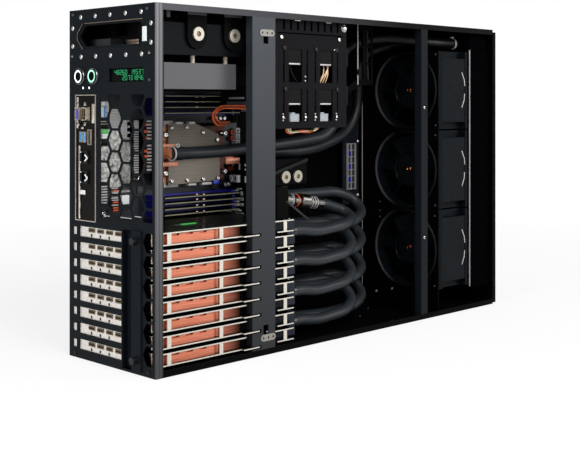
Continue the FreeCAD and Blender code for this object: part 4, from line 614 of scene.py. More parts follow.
# Moulded green plastic of the sound socket and of the light bar on the top card
socket_green = surface("nylon_moulded_green", "#2F9A3C", "#52C85C", 0.8, 0, (0.35, 0.5))
# White nylon of plugs and push buttons
white_nylon = surface("nylon_moulded_white", "#C6C9CC", "#E6E8EA", 0.8, 0.01, (0.4, 0.55))
# Gold flash over copper contacts
gold_flash = surface("gold_flash_contacts", "#B98B4A", "#E0B878", 0.6, 0.004, (0.22, 0.36), metal=1.0)
# Orange insulation of thin leads and sealing rings
orange_skin = surface("pvc_insulation_orange", "#B8400E", "#DE5A1E", 0.8, 0.008, (0.38, 0.5))
# Bright extruded aluminium fins
bright_fins = surface("aluminium_extruded_bright", "#8F9294", "#B9BCBE", 1.2, 0.01, (0.28, 0.42),
                      metal=1.0, stretch=(1, 0.15, 1))
# Ceramic and epoxy of board parts, matt grey
grey_epoxy = surface("epoxy_moulded_grey", "#2B2D2F", "#3A3C3F", 0.8, 0.01, (0.45, 0.6))

# Control panel: rivets, screws and figures on the display

RIVET_PLACES = [(0, y, 429.7) for y in (151.4, 120.3, 89.4, 58.1, 27.2)]
RIVET_PLACES += [(0, y, 379.8) for y in (150.6, 119.2, 88.4, 57.2, 26.5)]
RIVET_PLACES += [(0, 169, 416.5), (0, 169, 393.7), (0, 8.5, 415.3), (0, 8.5, 392.8)]
finish(spread(rivet(3.0, 1.5, REAR), RIVET_PLACES), "control_panel_rivets", turned_nickel)
SCREW_PLACES = [(0, 168.5, 433.4), (0, 15.8, 432.5), (0, 170.1, 381.3), (0, 11.8, 381), (0, 11.4, 348.7)]
screws("control_panel_screws", SCREW_PLACES, 1.7, 1.2, REAR, material=grey_and_lit_coat)

SWITCH_SPOTS = [(-4.1, 152.2, 355), (-4.1, 123.4, 355)]
finish(spread(start_ring(8.6, 0.7, "x", 40, 8), SWITCH_SPOTS), "switch_bezels", black_nylon)
finish(spread(start_ring(9.5, 0.45, "x", 40, 8), [(-2.2, y, z) for _, y, z in SWITCH_SPOTS]), "switch_body_rings",
       turned_steel)
# Grip opening: pale strips at its far side and top, a pale strip at its near end, and what shows inside
grip_edges = [slabs([((-0.35, 0.1), (158.9, 159.7), (401, 409.8))], REAR, 0.1, 0.05)]
for y, z, turn in ((153.3, 395.3, -45), (153.3, 415.5, 45)):
    grip_edges.append(spread(spin(panel((0.45, 0.8, 17), REAR, 0.1, 0.05), turn, "x"), [(-0.12, y, z)]))
grip_edges.append(slabs([((-0.35, 0.1), (25.4, 143.7), (421.0, 421.7))], REAR, 0.1, 0.05))
finish(join(grip_edges), "grip_pale_edges", port_plate)
finish(slabs([((-0.6, 0.1), (16.8, 25), (394.6, 411.8))], REAR, 0.5, 0.2), "grip_end_strip", white_nylon)
finish(slabs([((26, 45.2), (125, 170), (388.8, 403))], REAR, 1.2, -0.3), "supply_inlet_shroud", grey_epoxy)
finish(slabs([((29.2, 32), (72, 97), (397.2, 400.4)), ((29.6, 32), (72, 96), (390.5, 397))], REAR),
       "reservoir_clip", port_plate)

finish(spread(panel((0.8, 67.9, 16.1), REAR, 0.6, 0.15), [(2.4, 57.85, 355.45)]), "display_glass", display_glass)

# Which of the seven bars each figure lights: top, two upper, middle, two lower, bottom
BARS = {"0": "tabdef", "1": "bd", "2": "tbmef", "3": "tbmdf", "4": "abmd", "5": "tamdf", "6": "tamdef", "7": "tbd",
        "8": "tabmdef", "9": "tabmdf"}
BAR_PLACES = {"t": (0, 2, 0), "a": (-1, 1, 1), "b": (1, 1, 1), "m": (0, 0, 0), "e": (-1, -1, 1), "d": (1, -1, 1),
              "f": (0, -2, 0)}
FIGURE_PITCH = 5.3
FIGURE_HALF = 1.75
FIGURE_TALL = 5.2
FIGURES_RIGHT = 25.2
FIGURES_X = 1.8


def figure_bars(text, low):
    """The lit bars of a row of figures that ends at the right edge, seen from the rear, in mm."""
    upright = []
    level = []
    for index, letter in enumerate(reversed(text)):
        middle = FIGURES_RIGHT + (index + 0.5) * FIGURE_PITCH
        for bar in BARS.get(letter, ""):
            across, up, standing = BAR_PLACES[bar]
            place = (FIGURES_X, middle - across * FIGURE_HALF, low + FIGURE_TALL / 2 + up * FIGURE_TALL / 4)
            (upright if standing else level).append(place)
    return upright, level


figures = []
for text, low in (("48260 19537", 356.2), ("20731846", 349.4)):
    upright, level = figure_bars(text, low)
    for size, places in (((0.2, 0.9, FIGURE_TALL * 0.42), upright), ((0.2, 2.9, 0.8), level)):
        figures.append(spread(panel(size, REAR, 0.2, 0.05), places))
finish(join(figures), "display_figures", figure_green)


# Ports in the rear plate

DSUB_Z = 308


def dsub_face(y, wide, name, material):
    """The moulded insert in a nine or fifteen way socket, with its rows of contact holes."""
    insert = panel((1.2, wide, 13.4), REAR, 0.5, 0.5)
    finish(spread(insert, [(-5.6, y, DSUB_Z)]), name, material)
    places = [(-6.6, y + row * 1.9, DSUB_Z + (step - 2) * 2.5 + (row % 2) * 1.2)
              for row in (-1, 0, 1) for step in range(5)]
    screws(name + "_contacts", places, 0.55, 0.5, REAR, 0.45, gold_flash)


dsub_face(152, 5.0, "monitor_socket_insert", insert_blue)
dsub_face(137.5, 6.2, "serial_socket_insert", black_nylon)
SURROUND = [((-0.5, 0.6), (122, 127.4), (296.5, 320.5)), ((-0.5, 0.6), (146, 150.4), (289, 291.4)),
            ((-0.5, 0.6), (157, 160.4), (290, 329)), ((-0.3, 0.6), (153, 156.2), (176, 268))]
SURROUND += [((-0.7, 0.6), (153, 154.6), (z, z + 9)) for z in (180, 198, 216, 235, 253)]
finish(slabs(SURROUND, REAR, 0.6, 0.3), "port_surrounds", shield_steel)
post = carve(start_disc(2.6, 5, "x", 6), REAR, (0.7, 0.4), (0.5,), (0.05, -1.5))
POST_PLACES = [(-1.6, y, DSUB_Z + rise) for y in (153, 137.5) for rise in (-12.5, 12.5)]
finish(spread(post, POST_PLACES), "socket_jack_posts", turned_nickel)

TONGUE_SIZES = (("socket_tongue_far", 149.7, 3.6, 11.4), ("socket_tongue_near", 143, 3.6, 11.4),
                ("video_tongue", 132, 2.1, 16.8))
for name, y, wide, tall in TONGUE_SIZES:
    material = black_nylon if name == "video_tongue" else socket_blue
    finish(spread(panel((13.4, wide, tall), REAR, 0.5, 0.4), [(5.8, y, 279)]), name, material)

NETWORK_LEVELS = (253.6, 228.6)
wire = start_box(9, 0.5, 0.45)
edit(wire)
pick(REAR)
move(0, 1.2, 0)
bpy.ops.object.mode_set(mode="OBJECT")
WIRES = [(6, 141.6, z + (step - 3.5) * 1.02) for z in NETWORK_LEVELS for step in range(8)]
finish(spread(wire, WIRES), "network_contacts", gold_flash)
LINK_LAMPS = [(-1.7, 150.2, z + side * 6.4) for z in NETWORK_LEVELS for side in (-1, 1)]
finish(spread(panel((0.8, 2.4, 1.6), REAR), LINK_LAMPS), "network_lamps", white_nylon)
# Painted highlights where the spring clips that press on the port plate catch the light: pale slanted bars, one on each
# side of a network socket
clips = []
for side in (-1, 1):
    slant = spin(panel((0.7, 7.0, 2.0), REAR, 0.4, 0.3), side * 35, "x")
    clips.append(spread(slant, [(-1.9, 137.8, z + side * 2.0 - 0.6) for z in NETWORK_LEVELS]))
finish(join(clips), "network_clip_highlights", white_nylon)

button = carve(start_disc(2.1, 3.0, "x", 20), REAR, (0.4, 0.3))
guard = shift(panel((0.8, 9.6, 5.4), REAR, 0.6, 0.3), 0.8, 0, 0)
finish(spread(join([button, guard]), [(-0.6, 147.6, 209.5)]), "board_push_button", white_nylon)


# Behind the honeycomb: the ports' cages, the regulator's cooler and rows of connectors, all standing on the board

BOARD_Y = 162.5
CAGE_X = (18.2, 27.8)
CAGES = [(CAGE_X, (131.3, BOARD_Y), (292.5, 323.5)), (CAGE_X, (129, BOARD_Y), (268.5, 288.5)),
         (CAGE_X, (130, BOARD_Y), (220.3, 267.5)), ((15.2, 27.8), (129.2, 130.2), (222, 267))]
finish(slabs(CAGES, OPEN, 1.4, -0.3), "port_cages", mottled_zinc)
CAGE_NEAR = (130.1, 131.5)
USB_NEAR = (128, 129.2)
finish(slabs([((15.6, 19.4), CAGE_NEAR, (303, 316.5)), ((16, 21), CAGE_NEAR, (318.5, 323)),
              ((15.6, 27.3), USB_NEAR, (276.8, 282.8))], OPEN), "sound_sockets_white", white_nylon)
finish(slabs([((19.4, 22.6), CAGE_NEAR, (304, 317))], OPEN), "sound_socket_blue", socket_blue)
finish(slabs([((15.6, 25), USB_NEAR, (282.8, 288.4))], OPEN), "sound_socket_green", socket_green)
finish(slabs([((15, 25), USB_NEAR, (268.5, 274.5))] +
             [((16.2, 26.6), CAGE_NEAR, (z, z + 2)) for z in (292.6, 295.8, 299)], OPEN),
       "cage_strips", shield_steel)
TIP_Y = (129.1, 130)
finish(slabs([((28.2, 44.8), TIP_Y, (215, 287)), ((46.2, 60), TIP_Y, (219, 275))], OPEN, 1.0, 0.2),
       "cooler_caps", mottled_zinc)
finish(slabs([((28.2, 44.8), (129.1, BOARD_Y), (300.1, 314)), ((28.2, 44.8), TIP_Y, (288.5, 300.1)),
              ((45.2, 55), TIP_Y, (276.5, 300))], OPEN, 0.6, 0.2), "cooler_shroud", perforated_steel)
BLOCKS = [((28.2, 56.5), (130, BOARD_Y), (183, 199.8)), ((15.5, 25.4), (131, BOARD_Y), (176.5, 219)),
          ((77.7, 86), (147, BOARD_Y), (219, 300)), ((94.6, 107.4), (147, BOARD_Y), (229, 300))]
finish(slabs(BLOCKS, OPEN, 0.8, -0.4), "connector_blocks", black_nylon)
ROW_Y = (128.9, 130.2)
DEEP_Y = (145.4, 147.2)
ORANGE_ROWS = [((33, 41), ROW_Y, (z, z + 1.9)) for z in (209.5, 194.5, 187.5, 184.3)]
ORANGE_ROWS += [((94.8, 99.6), DEEP_Y, (z, z + 3.4)) for z in (291.5, 282.5, 274, 256.5, 249.5, 238)]
finish(slabs(ORANGE_ROWS, OPEN), "connector_rows_orange", orange_skin)
PALE_ROWS = [((31, 41), ROW_Y, (z, z + 1.5)) for z in (212.8, 206.5, 203.4, 200.3, 197.6, 191.3)]
PALE_ROWS += [((99.8, 107), DEEP_Y, (232 + 4.6 * step, 234.4 + 4.6 * step)) for step in range(15)]
PALE_ROWS += [((77.9, 85.8), DEEP_Y, (230.2 + 3.1 * step, 232 + 3.1 * step)) for step in range(18)]
PALE_ROWS += [((77.9, 85.8), DEEP_Y, (288.4, 299))]
PALE_ROWS += [((15.6, 25), (129.9, 131.2), (195 + 3.4 * step, 196.9 + 3.4 * step)) for step in range(7)]
finish(slabs(PALE_ROWS, OPEN), "connector_rows_pale", bare_metal_and_highlights)
finish(slabs([((44, 55.5), (125.5, 130), (192.6, 204))], OPEN, 1.0, 0.3), "fan_plug_white", white_nylon)
eyes = [spread(start_ring(4.4, 1.1, "y", 28, 8), [(81.8, 145.8, 225)]),
        spread(join([start_ring(2.9, 0.9, "y", 24, 8), screw(1.6, 1.4, OPEN)]), [(19.6, 130.2, 181)])]
finish(join(eyes), "connector_rings", turned_nickel)
# Painted highlights: pale strips behind the vent, where the lower edges of its openings catch the light
VENT_HIGHLIGHT_PLACES = (((91, 103), 179.5), ((77, 90), 180.5), ((49, 71), 183), ((30, 46), 186), ((88, 100), 182.5))
VENT_HIGHLIGHTS = [((1.5, 2.3), y, (z, z + 1.1)) for y, z in VENT_HIGHLIGHT_PLACES]
finish(slabs(VENT_HIGHLIGHTS, REAR, 0.2, 0.1), "vent_edge_highlights", bare_metal_and_highlights)


# Processor block: cover screws, spring screws, edge clips, lugs and the end of its hose

COVER_Y = 131
COVER_SCREWS = [(x, COVER_Y, z) for x, z in ((128.5, 288.5), (154.5, 289), (183, 281.5), (209, 271), (128.5, 218),
                                             (155.5, 218), (183.5, 218), (210, 218))]
screws("cover_screws", COVER_SCREWS, 2.6, 2.2, OPEN)
spring = join([shift(start_ring(3.2, 0.5, "y", 20, 6), 0, step * 1.1, 0) for step in range(6)])
cap = screw(3.4, 2.6, OPEN)
POSTS = [(x, COVER_Y, z) for x, z in ((118, 279.5), (118, 228.5), (222.5, 227), (222.5, 279.5))]
finish(spread(join([shift(spring, 0, 0.6, 0), cap]), POSTS), "cold_plate_spring_screws", turned_nickel)

COVER_NEAR = (131.4, 137.6)
finish(slabs([((138, 149.6), COVER_NEAR, (293.3, 296.4)), ((159.8, 170.4), COVER_NEAR, (293.3, 296.4)),
              ((158.8, 172.4), COVER_NEAR, (210, 212.7)), ((183, 199.8), COVER_NEAR, (209.8, 213)),
              ((122, 146), (137.8, 141), (209, 216.2)), ((122, 137), (137.8, 141), (289.8, 298))], OPEN),
       "cover_edge_clips", bare_metal_and_highlights)
finish(slabs([((204.4, 214), (132.4, 138.4), (210.2, 216.4))], OPEN), "cover_edge_tab", insert_blue)
PLATE_NEAR = (136.6, 138.2)
LUGS = [((112.2, 123.8), PLATE_NEAR, z) for z in ((283.4, 290.6), (215.6, 223.4), (271, 276), (258, 268))]
LUGS += [((112.2, 139), (128.6, 138.2), (237.6, 243.4)), ((112.2, 135), (129.6, 138.2), (263, 267)),
         ((231.2, 258), (137.2, 147), (236, 244.6))]
finish(slabs(LUGS, OPEN, 0.5, 0.3), "cold_plate_lugs", lug_copper)
CHIP_LEVELS = ((170.8, 330), (182, 330), (170.8, 323.4), (182, 323.4), (170.8, 316.8), (170.8, 197.6), (183, 196.9),
               (170.8, 191), (183, 190.3), (170.8, 183), (183, 182.2), (170.8, 174.2), (183, 174.1))
finish(slabs([((x - 2, x + 2), (127.7, 128.7), (z - 1.1, z + 1.1)) for x, z in CHIP_LEVELS], OPEN),
       "memory_edge_chips", port_plate)
sleeve = start_disc(9.1, 16, "x", 32)
for side in (-1, 1):
    carve(sleeve, ("x", side), (0.5, 0.2))
HOSE_END = (121, 110, 255.5)
finish(spread(sleeve, [HOSE_END]), "hose_end_sleeve", hose_rubber)
bands = join([shift(start_ring(9.0, 1.0, "x", 36, 8), -8.2, 0, 0),
              shift(start_ring(2.2, 0.8, "y", 20, 8), -1.5, -4, 10.6)])
finish(spread(bands, [HOSE_END]), "hose_end_bands", bare_metal_and_highlights)
BAR_Y = (58.5, 61.5)
finish(slabs([((86.6, 111), BAR_Y, (168.5, 169.7))], UP, 0.2, 0.1), "card_light_bar", socket_green)
finish(slabs([((76, 86.6), BAR_Y, (168.5, 169.2))], UP, 0.2, 0.1), "card_light_bar_end", grey_epoxy)


# Hoses: a worm clamp where each one meets its nut

def clamp(radius):
    """A band with a raised screw housing, round the X axis."""
    band = start_disc(radius + 0.7, 5, "x", 32)
    for side in (1, -1):
        carve(band, ("x", side), (0.6, -0.4))
    return join([band, shift(soften(start_box(5.6, 4.6, 3.2), 0.6), 0, 0, radius + 1.4)])


# Upper ends of the card hoses, two card pitches apart; at the top the near place holds the quick coupling
HOSE_LEVELS = (190.78, 150.14, 109.5, 68.86)
CLAMPS = [(289, y, z) for z in HOSE_LEVELS for y in (72, 92) if (y, z) != (72, HOSE_LEVELS[0])]
clamps = [spread(clamp(7.6), CLAMPS)]
clamps.append(spread(clamp(8.2), [(297.5, 127.5, 251)]))
finish(join(clamps), "hose_clamps", turned_nickel)
finish(spread(clamp(8.2), [(626, 40, 416), (626, 100, 416)]), "radiator_hose_clamps", bare_metal_and_highlights)

# Sealing rings on the quick coupling, which lies eight degrees below level
COUPLING = (280, 72, 188)
COUPLING_TILT = 8


def on_coupling(piece, along):
    """Sets a ring made about the X axis on the coupling's own axis, at a distance along it in mm."""
    shift(piece, along, 0, 0)
    spin(piece, COUPLING_TILT, "y")
    return spread(piece, [COUPLING])


seals = [on_coupling(start_ring(radius, 0.9, "x", 32, 8), along) for along, radius in ((6, 7.9), (24.7, 8.1))]
finish(join(seals), "coupling_seals", orange_skin)
ribs = [on_coupling(start_ring(8.1, 0.7, "x", 32, 8), along) for along in (11, 14, 53, 58, 63, 68)]
finish(join(ribs), "coupling_ribs", bare_metal_and_highlights)
knurl = [on_coupling(start_ring(10.6, 0.35, "x", 32, 6), along) for along in range(32, 48, 2)]
finish(join(knurl), "collar_knurling", coupling_chrome, "release_collar")


# Main board: headers, chokes, capacitors and chips

def header(long, tall, deep, count):
    """A pin header that stands on the plane at zero and looks out of the open side, with a sunk mouth."""
    shell = shift(start_box(long, deep, tall), 0, -deep / 2, 0)
    carve(shell, OPEN, (0.8,), (0.05, -deep * 0.6))
    pins = [shift(panel((0.7, deep * 0.8, 0.7), OPEN, 0.2, 0.3), 0, -deep * 0.45,
                  (row - (count - 1) / 2) * tall * 0.8 / count) for row in range(count)]
    return join([shell] + pins)


HEADER_PLACES = [(269, BOARD_Y, z) for z in (282, 273.5, 265, 239, 231)] + [(264, BOARD_Y, 214)]
finish(spread(header(7.5, 7.2, 9, 2), HEADER_PLACES), "board_headers_white", white_nylon)
PORT_PLACES = [(261, BOARD_Y, z) for z in (279.5, 271, 228, 246)]
finish(spread(header(5.5, 5.6, 7, 2), PORT_PLACES), "board_headers_orange", orange_skin)
finish(spread(header(6, 21, 11, 8), [(258, BOARD_Y, 196), (268, BOARD_Y, 196), (262, BOARD_Y, 304)]),
       "board_headers_black", black_nylon)

PUMP_X = (256.4, 258.2)
SMALL_WHITE = [(PUMP_X, (136.6, 138), (227, 235.5)), (PUMP_X, (123.4, 126), (232.6, 235.6)),
               (PUMP_X, (123.4, 126), (226.6, 229)), (PUMP_X, (123.6, 125.6), (209.6, 218.4)),
               ((252.6, 258.2), (136.5, 139.5), (209.5, 219.5)), ((252.6, 258.2), (147, 152), (209.5, 219.5)),
               ((252.6, 258.2), (139.5, 147), (209.5, 211.5)), ((252.6, 258.2), (139.5, 147), (217.5, 219.5))]
finish(slabs(SMALL_WHITE, REAR), "pump_face_parts", white_nylon)
EDGE_PARTS = [(268, 199, 6, 2), (262, 197, 4, 1.6), (272, 192, 2, 6), (273, 184, 2, 5), (273, 176, 2, 4),
              (264, 181, 3, 2), (264, 176, 3, 2), (264, 170, 3, 2), (268, 168, 5, 1.6), (247, 168.6, 7, 2),
              (239, 167.6, 4, 2), (273, 163, 3, 2.4), (220, 164.5, 3, 1.6), (230, 163.2, 6, 1.8), (242, 161.8, 9, 2),
              (256, 160.2, 9, 2.2), (268, 158, 8, 2.4), (206, 165.6, 3, 1.4)]
finish(slabs([((x - wide / 2, x + wide / 2), (147, BOARD_Y), (z - tall / 2, z + tall / 2))
              for x, z, wide, tall in EDGE_PARTS], OPEN), "board_edge_parts", white_nylon)
finish(slabs([((251, 272), (145.5, BOARD_Y), (327.2, 330.4))], OPEN, 0.8, 0.4), "board_edge_connector",
       white_nylon)

choke = carve(shift(soften(start_box(9.5, 6.5, 9.5), 1.2), 0, -3.25, 0), OPEN, (2.4, -0.3))
CHOKES = [(70, BOARD_Y, 206 + 12 * step) for step in range(8)] + [(240, BOARD_Y, 258), (240, BOARD_Y, 272)]
finish(spread(choke, CHOKES), "board_chokes", grey_epoxy)
can = shift(carve(start_disc(3.2, 9, "y", 20), OPEN, (0.5, 0.3), (0.4, -0.3)), 0, -4.5, 0)
CANS = [(x, BOARD_Y, 206) for x in (246, 253)] + [(x, BOARD_Y, 300) for x in (228, 236, 244)]
finish(spread(can, CANS), "board_capacitors", bright_fins)
chip = shift(panel((9, 1.6, 9), OPEN, 0.5, 0.2), 0, -0.8, 0)
CHIPS = [(250, BOARD_Y, 221), (246, BOARD_Y, 286), (232, BOARD_Y, 205), (100, BOARD_Y, 206), (265, BOARD_Y, 252)]
finish(spread(chip, CHIPS), "board_chips", grey_epoxy)

# Small heatsink between the sockets and the board's front edge: fins that step down with its slope
FINS = [(214 + step * 2.6, 153.5, 288 - step * 1.4) for step in range(9)]
finish(spread(panel((1.2, 14, 12), OPEN, 0.3, 0.4), FINS), "chipset_heatsink", coated_aluminium)

# Hub board: two columns of connectors with pale walls, some of them blue inside
HUB_Y = 160
HUB_LEVELS = [256 - 10.3 * step for step in range(8)]
WALLS = [((x, x + 1.0), (156.6, HUB_Y + 0.1), (183.5, 257)) for x in (508.8, 517.4, 527.2)]
WALLS += [((509.2, 527.8), (156.4, HUB_Y + 0.1), (z, z + 0.9)) for z in HUB_LEVELS]
finish(slabs(WALLS, OPEN, 0.2, 0.1), "hub_connector_walls", bare_metal_and_highlights)
BLUE_CELLS = [((510, 517.2), (158, HUB_Y + 0.1), (z + 1.2, z + 9)) for z in HUB_LEVELS[2::2]]
finish(slabs(BLUE_CELLS, OPEN), "hub_connector_blue", blue_nylon)
screws("hub_screws", [(535, HUB_Y, 260), (535, HUB_Y, 174)], 2.4, 1.8, OPEN)


# Drive plate: screws in its slots and beside its windows

PLATE_Y = 10
PLATE_SCREWS = [(214.3, PLATE_Y, 408), (326, PLATE_Y, 409)]
screws("drive_plate_screws", PLATE_SCREWS, 2.6, 1.8, OPEN)
LOW_SCREW_X = (217.6, 259.5, 278.6, 320.6)
LOW_SCREWS = [(x, PLATE_Y, 302.9) for x in LOW_SCREW_X]
screws("drive_low_screws", LOW_SCREWS, 1.9, 1.6, OPEN, 0.4)
DOT_SCREWS = [(x, PLATE_Y, z) for x in LOW_SCREW_X for z in (307, 298.8)]
DOT_SCREWS += [(x, PLATE_Y, z) for x, z in ((259.3, 357), (259.3, 351.3), (317, 394.4))]
screws("drive_dot_screws", DOT_SCREWS, 1.1, 1.0, OPEN, 0.4, bare_metal_and_highlights)
RAIL_SCREWS = [(x, PLATE_Y, 340) for x in (221.8, 322.8)] + [(x, PLATE_Y, 394) for x in (220, 280.3, 321.3)]
screws("drive_rail_screws", RAIL_SCREWS, 2.9, 1.6, OPEN, 0.4, black_oxide)


# Braces: dark screws in the latches, bright ones in the front brace

LATCH_Y = -0.05
LATCH_SCREWS = [(179 + step * 8, LATCH_Y, 411.2) for step in (-1, 0, 1)]
LATCH_SCREWS += [(181 + step * 8, LATCH_Y, 22.2) for step in (-1, 0, 1)]
screws("latch_screws", LATCH_SCREWS, 1.9, 0.7, OPEN, 0.3, black_oxide)
NOTCH_SCREWS = [(504.5, 0.9, 315), (504.5, 0.9, 121.4)]
screws("front_brace_screws", NOTCH_SCREWS, 2.2, 1.2, OPEN)

# Painted highlights: pale strips for the lit lower edges of the drives, seen in the plate's windows
EDGE_STRIPS = [(x, (10.5, 11.9), (z, z + 2)) for x in ((228.6, 250.5), (288.4, 310.8)) for z in (319.4, 372.6)]
finish(slabs(EDGE_STRIPS, OPEN), "drive_edge_highlights", bare_metal_and_highlights)
# Strip and contacts on the upper drive's rear end
finish(slabs([((199.2, 200.2), (59.5, 99.5), (319.6, 323.8))], REAR), "drive_end_strip", grey_and_lit_coat)
END_DASHES = [((199, 200.2), (65.4 + step * 6.2, 70.4 + step * 6.2), (326.9, 329.7)) for step in range(5)]
finish(slabs(END_DASHES, REAR), "drive_end_contacts", plug_nylon)


def plug(long, deep, tall):
    """A pale plug with rounded edges, a sunk back and a latch, which looks out of the open side."""
    shell = carve(soften(start_box(long, deep, tall), 0.7), OPEN, (1.6, -0.8))
    latch = soften(start_box(long * 0.4, deep * 0.7, 2.4), 0.5)
    return join([shell, shift(latch, -long * 0.12, -0.5, tall / 2 + 0.6)])


finish(spread(plug(17, 9, 10.5), [(243.6, 18, 302), (300.2, 18, 302)]), "drive_plugs", plug_nylon)

# Leads: sagging runs from one drive plug to the other, and a fan of strands between the two drives
RUNS = (("orange", 0, 282, orange_skin), ("green", 2.4, 284, socket_green), ("pale", 4.6, 283, white_nylon),
        ("orange_near", 7.0, 284.5, orange_skin), ("tinned", 9.2, 283.4, strand_copper))
for name, offset, low, material in RUNS:
    run = [(234 + offset, 20, 297.5), (233 + offset, 22, low + 2), (246 + offset, 25 + offset / 2, low - 2),
           (262 + offset, 30 - offset, low + 1), (282 + offset, 24 + offset / 2, low - 1), (292 + offset, 23, low + 3),
           (292 + offset, 20, 297.5)]
    finish(lead(run, 0.9), f"drive_lead_{name}", material)
STRANDS = ((312.5, 297.3, 0), (311, 302.4, 1), (309.4, 307.6, 2), (303.6, 296.4, 3))
strands = [lead([(top, 16 + step * 0.6, 374), ((top + foot) / 2 + 2.4, 15.4, 364), (foot, 16, 354),
                 (foot - 0.6, 20, 344.8)], 0.75) for top, foot, step in STRANDS]
finish(join(strands), "drive_strands", strand_copper)
# Loose lead of the upper drive, and the cables that run down through the guide
loose = [lead([(238, 18, 372.5), (240, 16, 360), (252, 16, 349), (258, 22, 344.8)], 0.8)]
loose += [lead([(x, 63, 437), (x - 1, 64.5, 400), (x + 2, 64.5, 370), (x + 1, 63, 348)], 1.8) for x in (427, 438, 448)]
finish(join(loose), "guide_cables", hose_rubber)
# Painted highlights: pale strips on the edges of the cable guide
GUIDE_EDGES = (((421.2, 422.6), (371.5, 437.2)), ((421.2, 422.6), (348.5, 363)), ((394.2, 395.4), (347, 386)),
               ((394.2, 399), (380, 384)), ((394.2, 399), (332.4, 335)))
finish(slabs([(x, (59, 60.1), z) for x, z in GUIDE_EDGES], OPEN, 0.2, 0.1), "guide_edge_highlights", bare_metal_and_highlights)

# Bright clips at the top of the drive plate and the hanger bolt beside them
clip = panel((11, 1.6, 2.0), OPEN, 0.4, 0.4)
finish(spread(clip, [(244, 9.2, 431.5), (304, 9.2, 431.5)]), "hanger_clips", bright_nickel)
bolt = join([rivet(4.2, 3.4, OPEN), shift(start_ring(4.6, 0.9, "y", 24, 8), 0, 0.2, 0)])
finish(spread(bolt, [(337, 9.9, 425)]), "hanger_bolt", turned_nickel)

# Fans: copper caps and dark rims that turn with the hubs, lips round the mouths, and small screws in the wall
FAN_BODIES = {"fan_low": 96.5, "fan_mid": 219, "fan_high": 341.5}
FAN_LEVELS = list(FAN_BODIES.values())
FAN_Y = 68
for index, (body, z) in enumerate(FAN_BODIES.items(), 1):
    hub_cap = join([start_ring(3.4, 1.2, "x", 28, 8), screw(2.2, 0.8, REAR, 0.35)])
    finish(spread(hub_cap, [(553, FAN_Y, z)]), f"fan_hub_cap_{index}", cap_copper, body)
    rim = start_ring(27.4, 0.5, "x", 64, 6)
    finish(spread(rim, [(552.9, FAN_Y, z)]), f"fan_hub_rim_{index}", black_oxide, body)

lips = spread(start_ring(59.2, 2.0, "x", 72, 8), [(543.2, FAN_Y, z) for z in FAN_LEVELS])
finish(lips, "fan_mouth_lips", lip_rubber)
WALL_X = 543.5
DOTS = [(WALL_X, y, z) for y, z in ((9, 395.6), (9, 287.7), (9.5, 272.8), (10, 166), (10.5, 150), (11, 43.5),
                                    (119, 165), (119, 151), (119, 141))]
screws("fan_wall_screws", DOTS, 1.4, 1.0, REAR, material=grey_and_lit_coat)
# Edges of the fans' side openings, which catch the light
SLITS = ((611.4, 22.6, -28, 12), (615.6, 12, -10, 11), (615.2, -10.5, 8, 10), (611.6, -21, 27, 13))
slits = []
for x, rise, turn, tall in SLITS:
    slit = spin(panel((1.3, 0.7, tall), OPEN, 0.3, 0.1), turn, "y")
    slits.append(spread(slit, [(x, 7.8, z + rise) for z in FAN_LEVELS]))
finish(join(slits), "fan_side_edges", bare_metal_and_highlights)
FRAME_EDGES = [((x, x + wide), (7.4, 8.1), (z - 59, z + 59))
               for z in FAN_LEVELS for x, wide in ((549.4, 9), (616.6, 6.2))]
finish(slabs(FRAME_EDGES, OPEN, 0.4, 0.1), "fan_frame_edges", tank_acetal)

# Cards: latch notches under three of the four video sockets, and a tongue in each socket
CARD_PITCH = 20.32
VIDEO_PITCH = 18.6
CARD_LEVELS = [160.3 - CARD_PITCH * card for card in range(8)]
VIDEO_PLACES = [129.5 - VIDEO_PITCH * step for step in range(4)]
notch = panel((0.5, 2.4, 3.4), REAR, 0.5, -0.1)
NOTCHES = [(1.3, y + 1.0, z - 3.9) for z in CARD_LEVELS for y in VIDEO_PLACES[:3]]
finish(spread(notch, NOTCHES), "bracket_notches", black_oxide)
TONGUES = [(0.35, y, z + 2.7) for z in CARD_LEVELS for y in VIDEO_PLACES]
finish(spread(panel((1.2, 9.6, 1.7), REAR), TONGUES), "video_tongues", black_nylon)

# Cards: bright turned edges, seen through the slot panel's openings, and two dark screws in that panel
BENDS = [((8.9, 9.6), (18.8, 22.4), (z - 8.4, z + 8)) for z in CARD_LEVELS]
BENDS += [((8.8, 9.6), (20, 28.6), (z + 6, z + 8)) for z in CARD_LEVELS]
finish(slabs(BENDS, REAR), "card_turned_edges", frame_nickel)
screws("slot_panel_screws", [(0, 162.8, 5.4), (0, 13.5, 6.4)], 2.2, 1.0, REAR, material=black_oxide)

# Plugs: bronze cores in the sunk hexagons
CORES = [(83.5, 23.2, 406.7), (143.5, 23.2, 406.7), (301, 89.3, 217), (325, 89.3, 217)]
screws("plug_cores", CORES, 3.0, 0.9, OPEN, 0.35, port_bronze)

# Pump: a ribbed sleeve across its face, and two thin wires from the manifold to the top hose
finish(lead([(262, 86.8, 219), (281.8, 86.8, 224.5), (310.3, 86.8, 231.8), (342, 87, 240)], 3.2), "pump_sleeve",
       ribbed_nylon)
wires = [lead([(276 + side, 62.2, 186), (292.5 + side, 62.6, 175), (311 + side, 64, 163), (325 + side, 68, 156.5)], 0.6)
         for side in (0, 3)]
finish(join(wires), "manifold_wires", grey_and_lit_coat)

